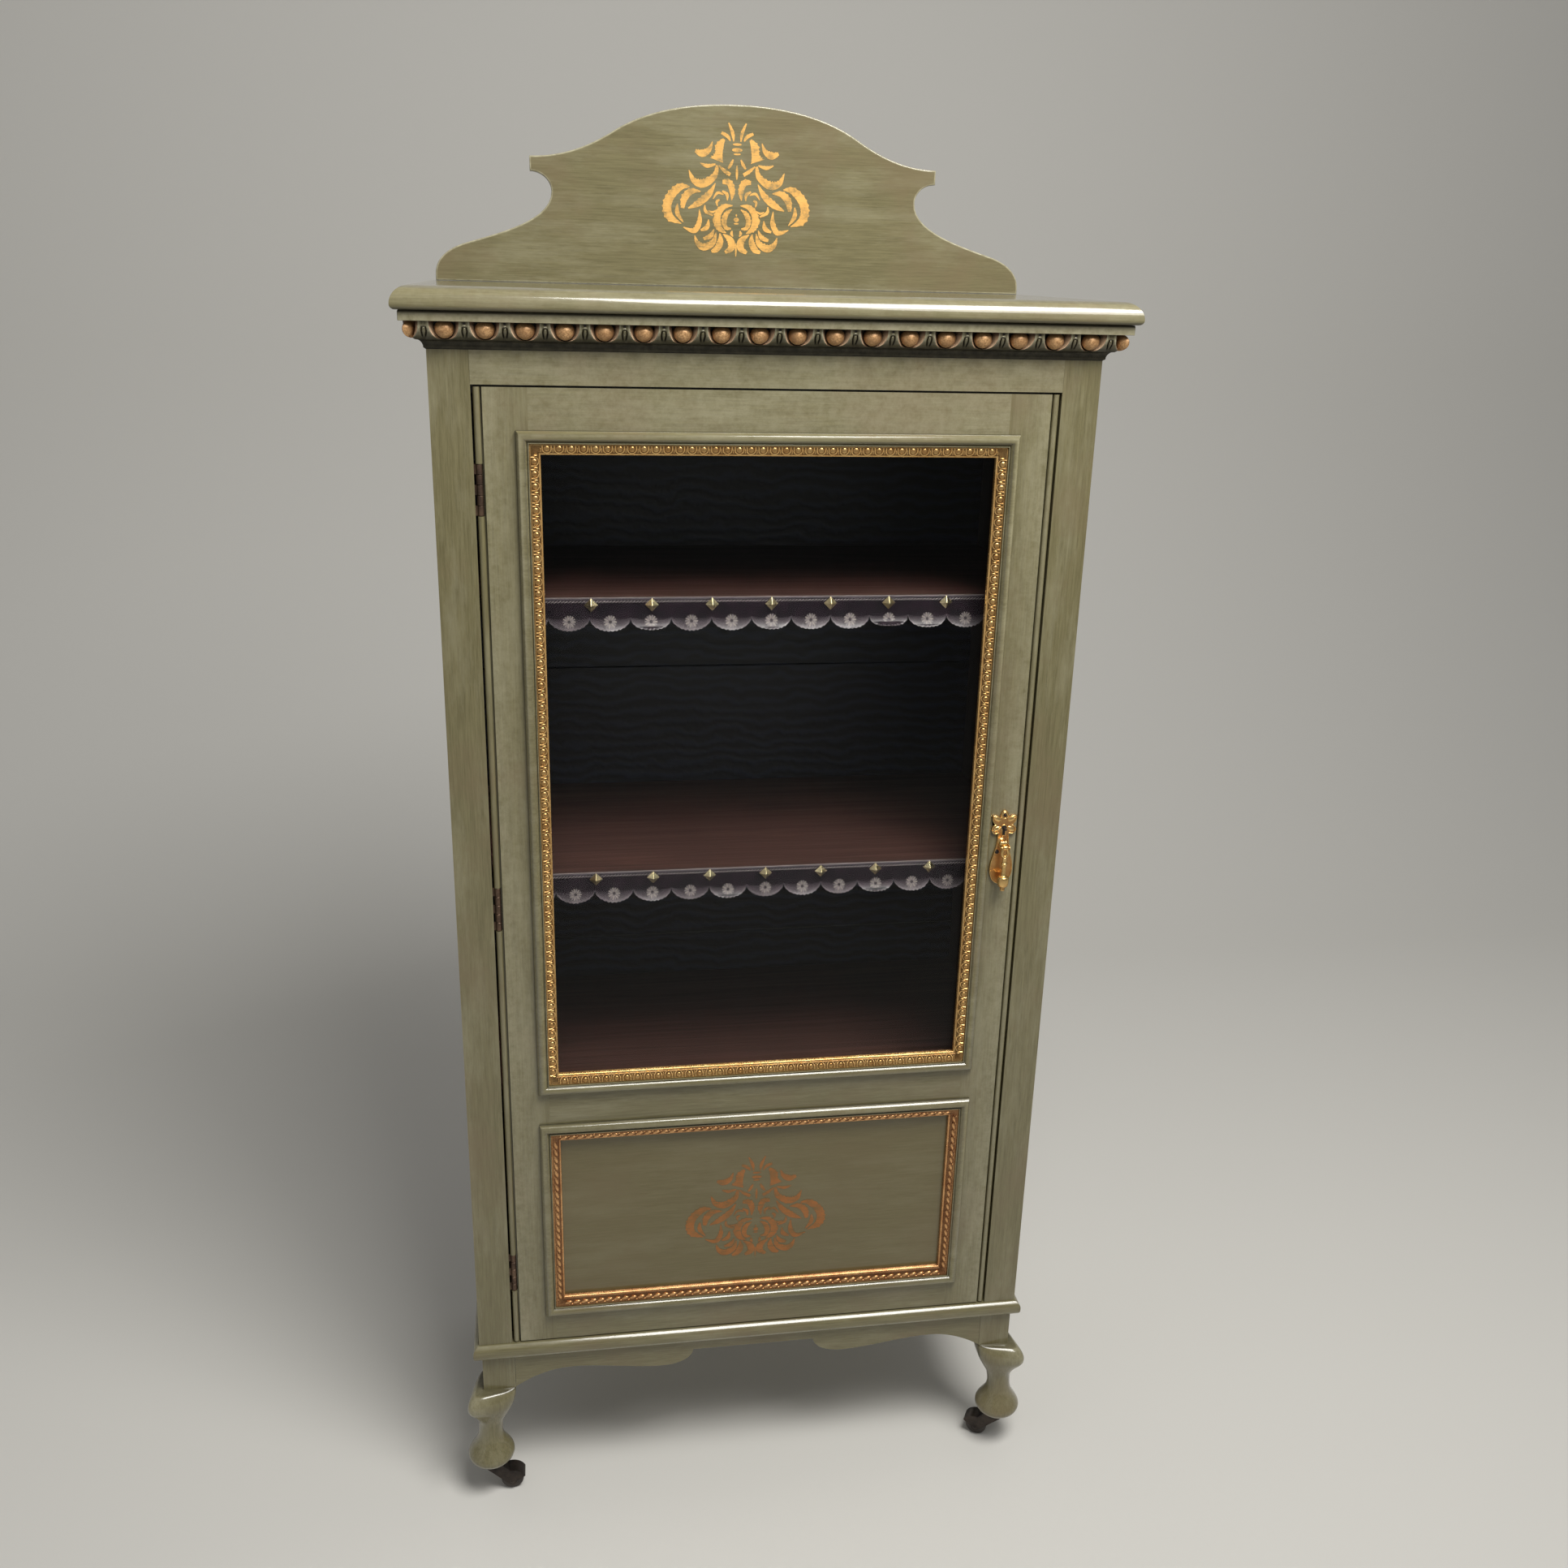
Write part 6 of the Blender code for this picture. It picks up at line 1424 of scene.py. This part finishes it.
# Casters: profiles of the plate with its pintle, of half the wheel and of the axle, in millimetres as
# (radius, distance), from the plate's top or from the wheel's middle
PLATE_PROFILE = (
    (0, 0), (13, 0), (13.5, -0.8), (13.2, -2.5), (3, -2.5), (3, -6.6), (5, -6.6), (4.4, -7.6), (2.4, -8.1),
    (0, -8.1),
)
WHEEL_HALF = (
    (2.4, 6.0), (5.4, 6.0), (6.4, 5.2), (7.0, 4.7), (10.6, 4.9), (12.4, 4.6), (13.1, 3.6), (13.45, 2.0),
)
AXLE_PROFILE = (
    (0, -9.9), (1.6, -9.6), (2.6, -8.7), (2, -8), (2, 8), (2.6, 8.7), (1.6, 9.6), (0, 9.9),
)


def casters():
    for word in ("front_left", "front_right", "rear_left", "rear_right"):
        plate, wheel = f"caster_plate_{word}", f"caster_wheel_{word}"
        foot = (low(plate) + high(plate)) / 2
        axle = (low(wheel) + high(wheel)) / 2
        top = high(plate).z
        shape = Shape()
        shape.lathe(PLATE_PROFILE, (foot.x, foot.y, top), Z, 32)
        piece(f"{plate}_worn", shape, [BLACK_IRON], "carcass", [plate])
        heading = Vector((axle.x - foot.x, axle.y - foot.y, 0)).normalized()
        across = Vector((-heading.y, heading.x, 0))
        caster_fork(f"caster_fork_{word}", Vector((foot.x, foot.y, 0)), heading, across, top)
        shape = Shape()
        section = [(radius, -aside) for radius, aside in WHEEL_HALF] + list(reversed(WHEEL_HALF))
        shape.lathe(section, axle, across, 48, looped=True)
        piece(f"{wheel}_worn", shape, [WHEEL], wheel, [wheel])


def caster_fork(node, centre, heading, across, top):
    """Two shaped cheeks under a hood, with the crown that the pintle turns in."""
    trail, wheel_z = 23.5 * MM, 13.5 * MM
    inner, outer = 6.8 * MM, 8.8 * MM
    crown_front, crown_back = -9 * MM, 9 * MM
    crown = top - 2.8 * MM
    low_crown = crown - 3.5 * MM

    def at(u, v, w):
        return centre + heading * u + across * v + Vector((0, 0, w))

    def hood(radius):
        return arc((trail, wheel_z), (radius, radius), 25, 100, 14)

    shape = Shape()
    roof, under = hood(17 * MM), hood(14.5 * MM)
    cheek = [(crown_front, crown), (crown_front, low_crown)]
    cheek += arc((trail, wheel_z), (5 * MM, 5 * MM), -135, 0, 10) + roof + [(crown_back, crown)]
    for sign in (-1, 1):
        shape.prism([at(u, sign * inner, w) for u, w in cheek], across * (sign * (outer - inner)))
    bridge = [(crown_front, low_crown), (crown_front, crown), (crown_back, crown)]
    bridge += [roof[-1], under[-1], (7 * MM, low_crown)]
    for outline in (roof + under[::-1], bridge):
        shape.prism([at(u, -inner, w) for u, w in outline], across * (2 * inner))
    shape.lathe(AXLE_PROFILE, at(trail, 0, wheel_z), across, 16)
    piece(f"{node}_worn", shape, [BLACK_IRON], node, [node], sharp=40)


# Stage

def camera():
    """The camera that took the photo, solved from the cabinet's straight edges; angles in radians."""
    place = Vector((-0.2217, -1.5846, 1.4181))
    yaw, pitch, roll = 0.1663, 0.3391, 0.0271
    forward = Vector((
        math.sin(yaw) * math.cos(pitch), math.cos(yaw) * math.cos(pitch), -math.sin(pitch),
    ))
    level = Vector((math.cos(yaw), -math.sin(yaw), 0))
    upward = level.cross(forward)
    side = level * math.cos(roll) + upward * math.sin(roll)
    top = upward * math.cos(roll) - level * math.sin(roll)
    data = bpy.data.cameras.new("camera")
    data.sensor_width = 36
    data.lens = 33.61
    obj = bpy.data.objects.new("camera", data)
    obj.matrix_world = Matrix.LocRotScale(place, Matrix((side, top, -forward)).transposed(), None)
    bpy.context.collection.objects.link(obj)
    bpy.context.scene.camera = obj


def area(name, energy, size, place, target, colour=(1, 1, 1)):
    """A rectangular light of so many watts, turned to a target."""
    data = bpy.data.lights.new(name, "AREA")
    data.energy = energy
    data.shape = "RECTANGLE"
    data.size, data.size_y = size
    data.color = colour
    obj = bpy.data.objects.new(name, data)
    obj.location = place
    obj.rotation_euler = (Vector(target) - Vector(place)).to_track_quat("-Z", "Y").to_euler()
    bpy.context.collection.objects.link(obj)


def stage():
    """A pale floor that bends up into a wall, three area lights and an even world."""
    wall_y, wall_z, bend = 2.4, 5.0, 1.2
    near_y, half_width = -12.0, 14.0
    section = [(near_y, 0.0)]
    section += arc((wall_y - bend, bend), (bend, bend), -90, 0, 16)
    section.append((wall_y, wall_z))
    shape = Shape()
    shape.skin(
        [[(x, y, z) for y, z in section] for x in (-half_width, half_width)], closed=False, caps=False,
    )
    pale = Paintbox("pale_floor", roughness=0.9, specular=0.1)
    to_object("floor", shape, [pale.done((0.62, 0.61, 0.58))])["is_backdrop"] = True
    area("key", 14, (0.8, 0.6), (0.85, -1.6, 2.65), (0, 0, 1.25), (1.0, 0.975, 0.93))
    area("top", 66, (1.3, 0.8), (0.50, -1.15, 2.9), (0, -0.1, 1.3), (1.0, 0.985, 0.95))
    area("fill", 5, (2.4, 3.0), (-3.0, -1.9, 1.6), (0, 0, 0.7))
    world = bpy.data.worlds.new("world")
    world.use_nodes = True
    background = world.node_tree.nodes["Background"]
    background.inputs["Color"].default_value = (1, 1, 1, 1)
    background.inputs["Strength"].default_value = 0.26
    bpy.context.scene.world = world
    bpy.context.scene.view_settings.view_transform = "Standard"


def build():
    camera()
    stage()
    recoat(PAINT_Z, "side_panel_left", "side_panel_right")
    recoat(PAINT_PANEL, "door_panel")
    recoat(MAHOGANY, "shelf_upper", "shelf_middle", "shelf_lower", "glazing_beading")
    recoat(BACK_WOOD, "back_panel")
    recoat(GLASS, "door_glass")
    recoat(BRASS, "lock_case", "lock_keeper")
    recoat(IRON, "lock_bolt")
    top_and_base()
    upstand()
    aprons()
    legs()
    face_frame()
    door_frame()
    mouldings()
    cornices()
    stencils()
    edging("upper")
    edging("middle")
    hinge_pieces()
    handle_pieces()
    casters()


build()

boxes = {"cad": CAD_BOX, "visual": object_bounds()}
{key: [list(corner) for corner in value] for key, value in boxes.items()}
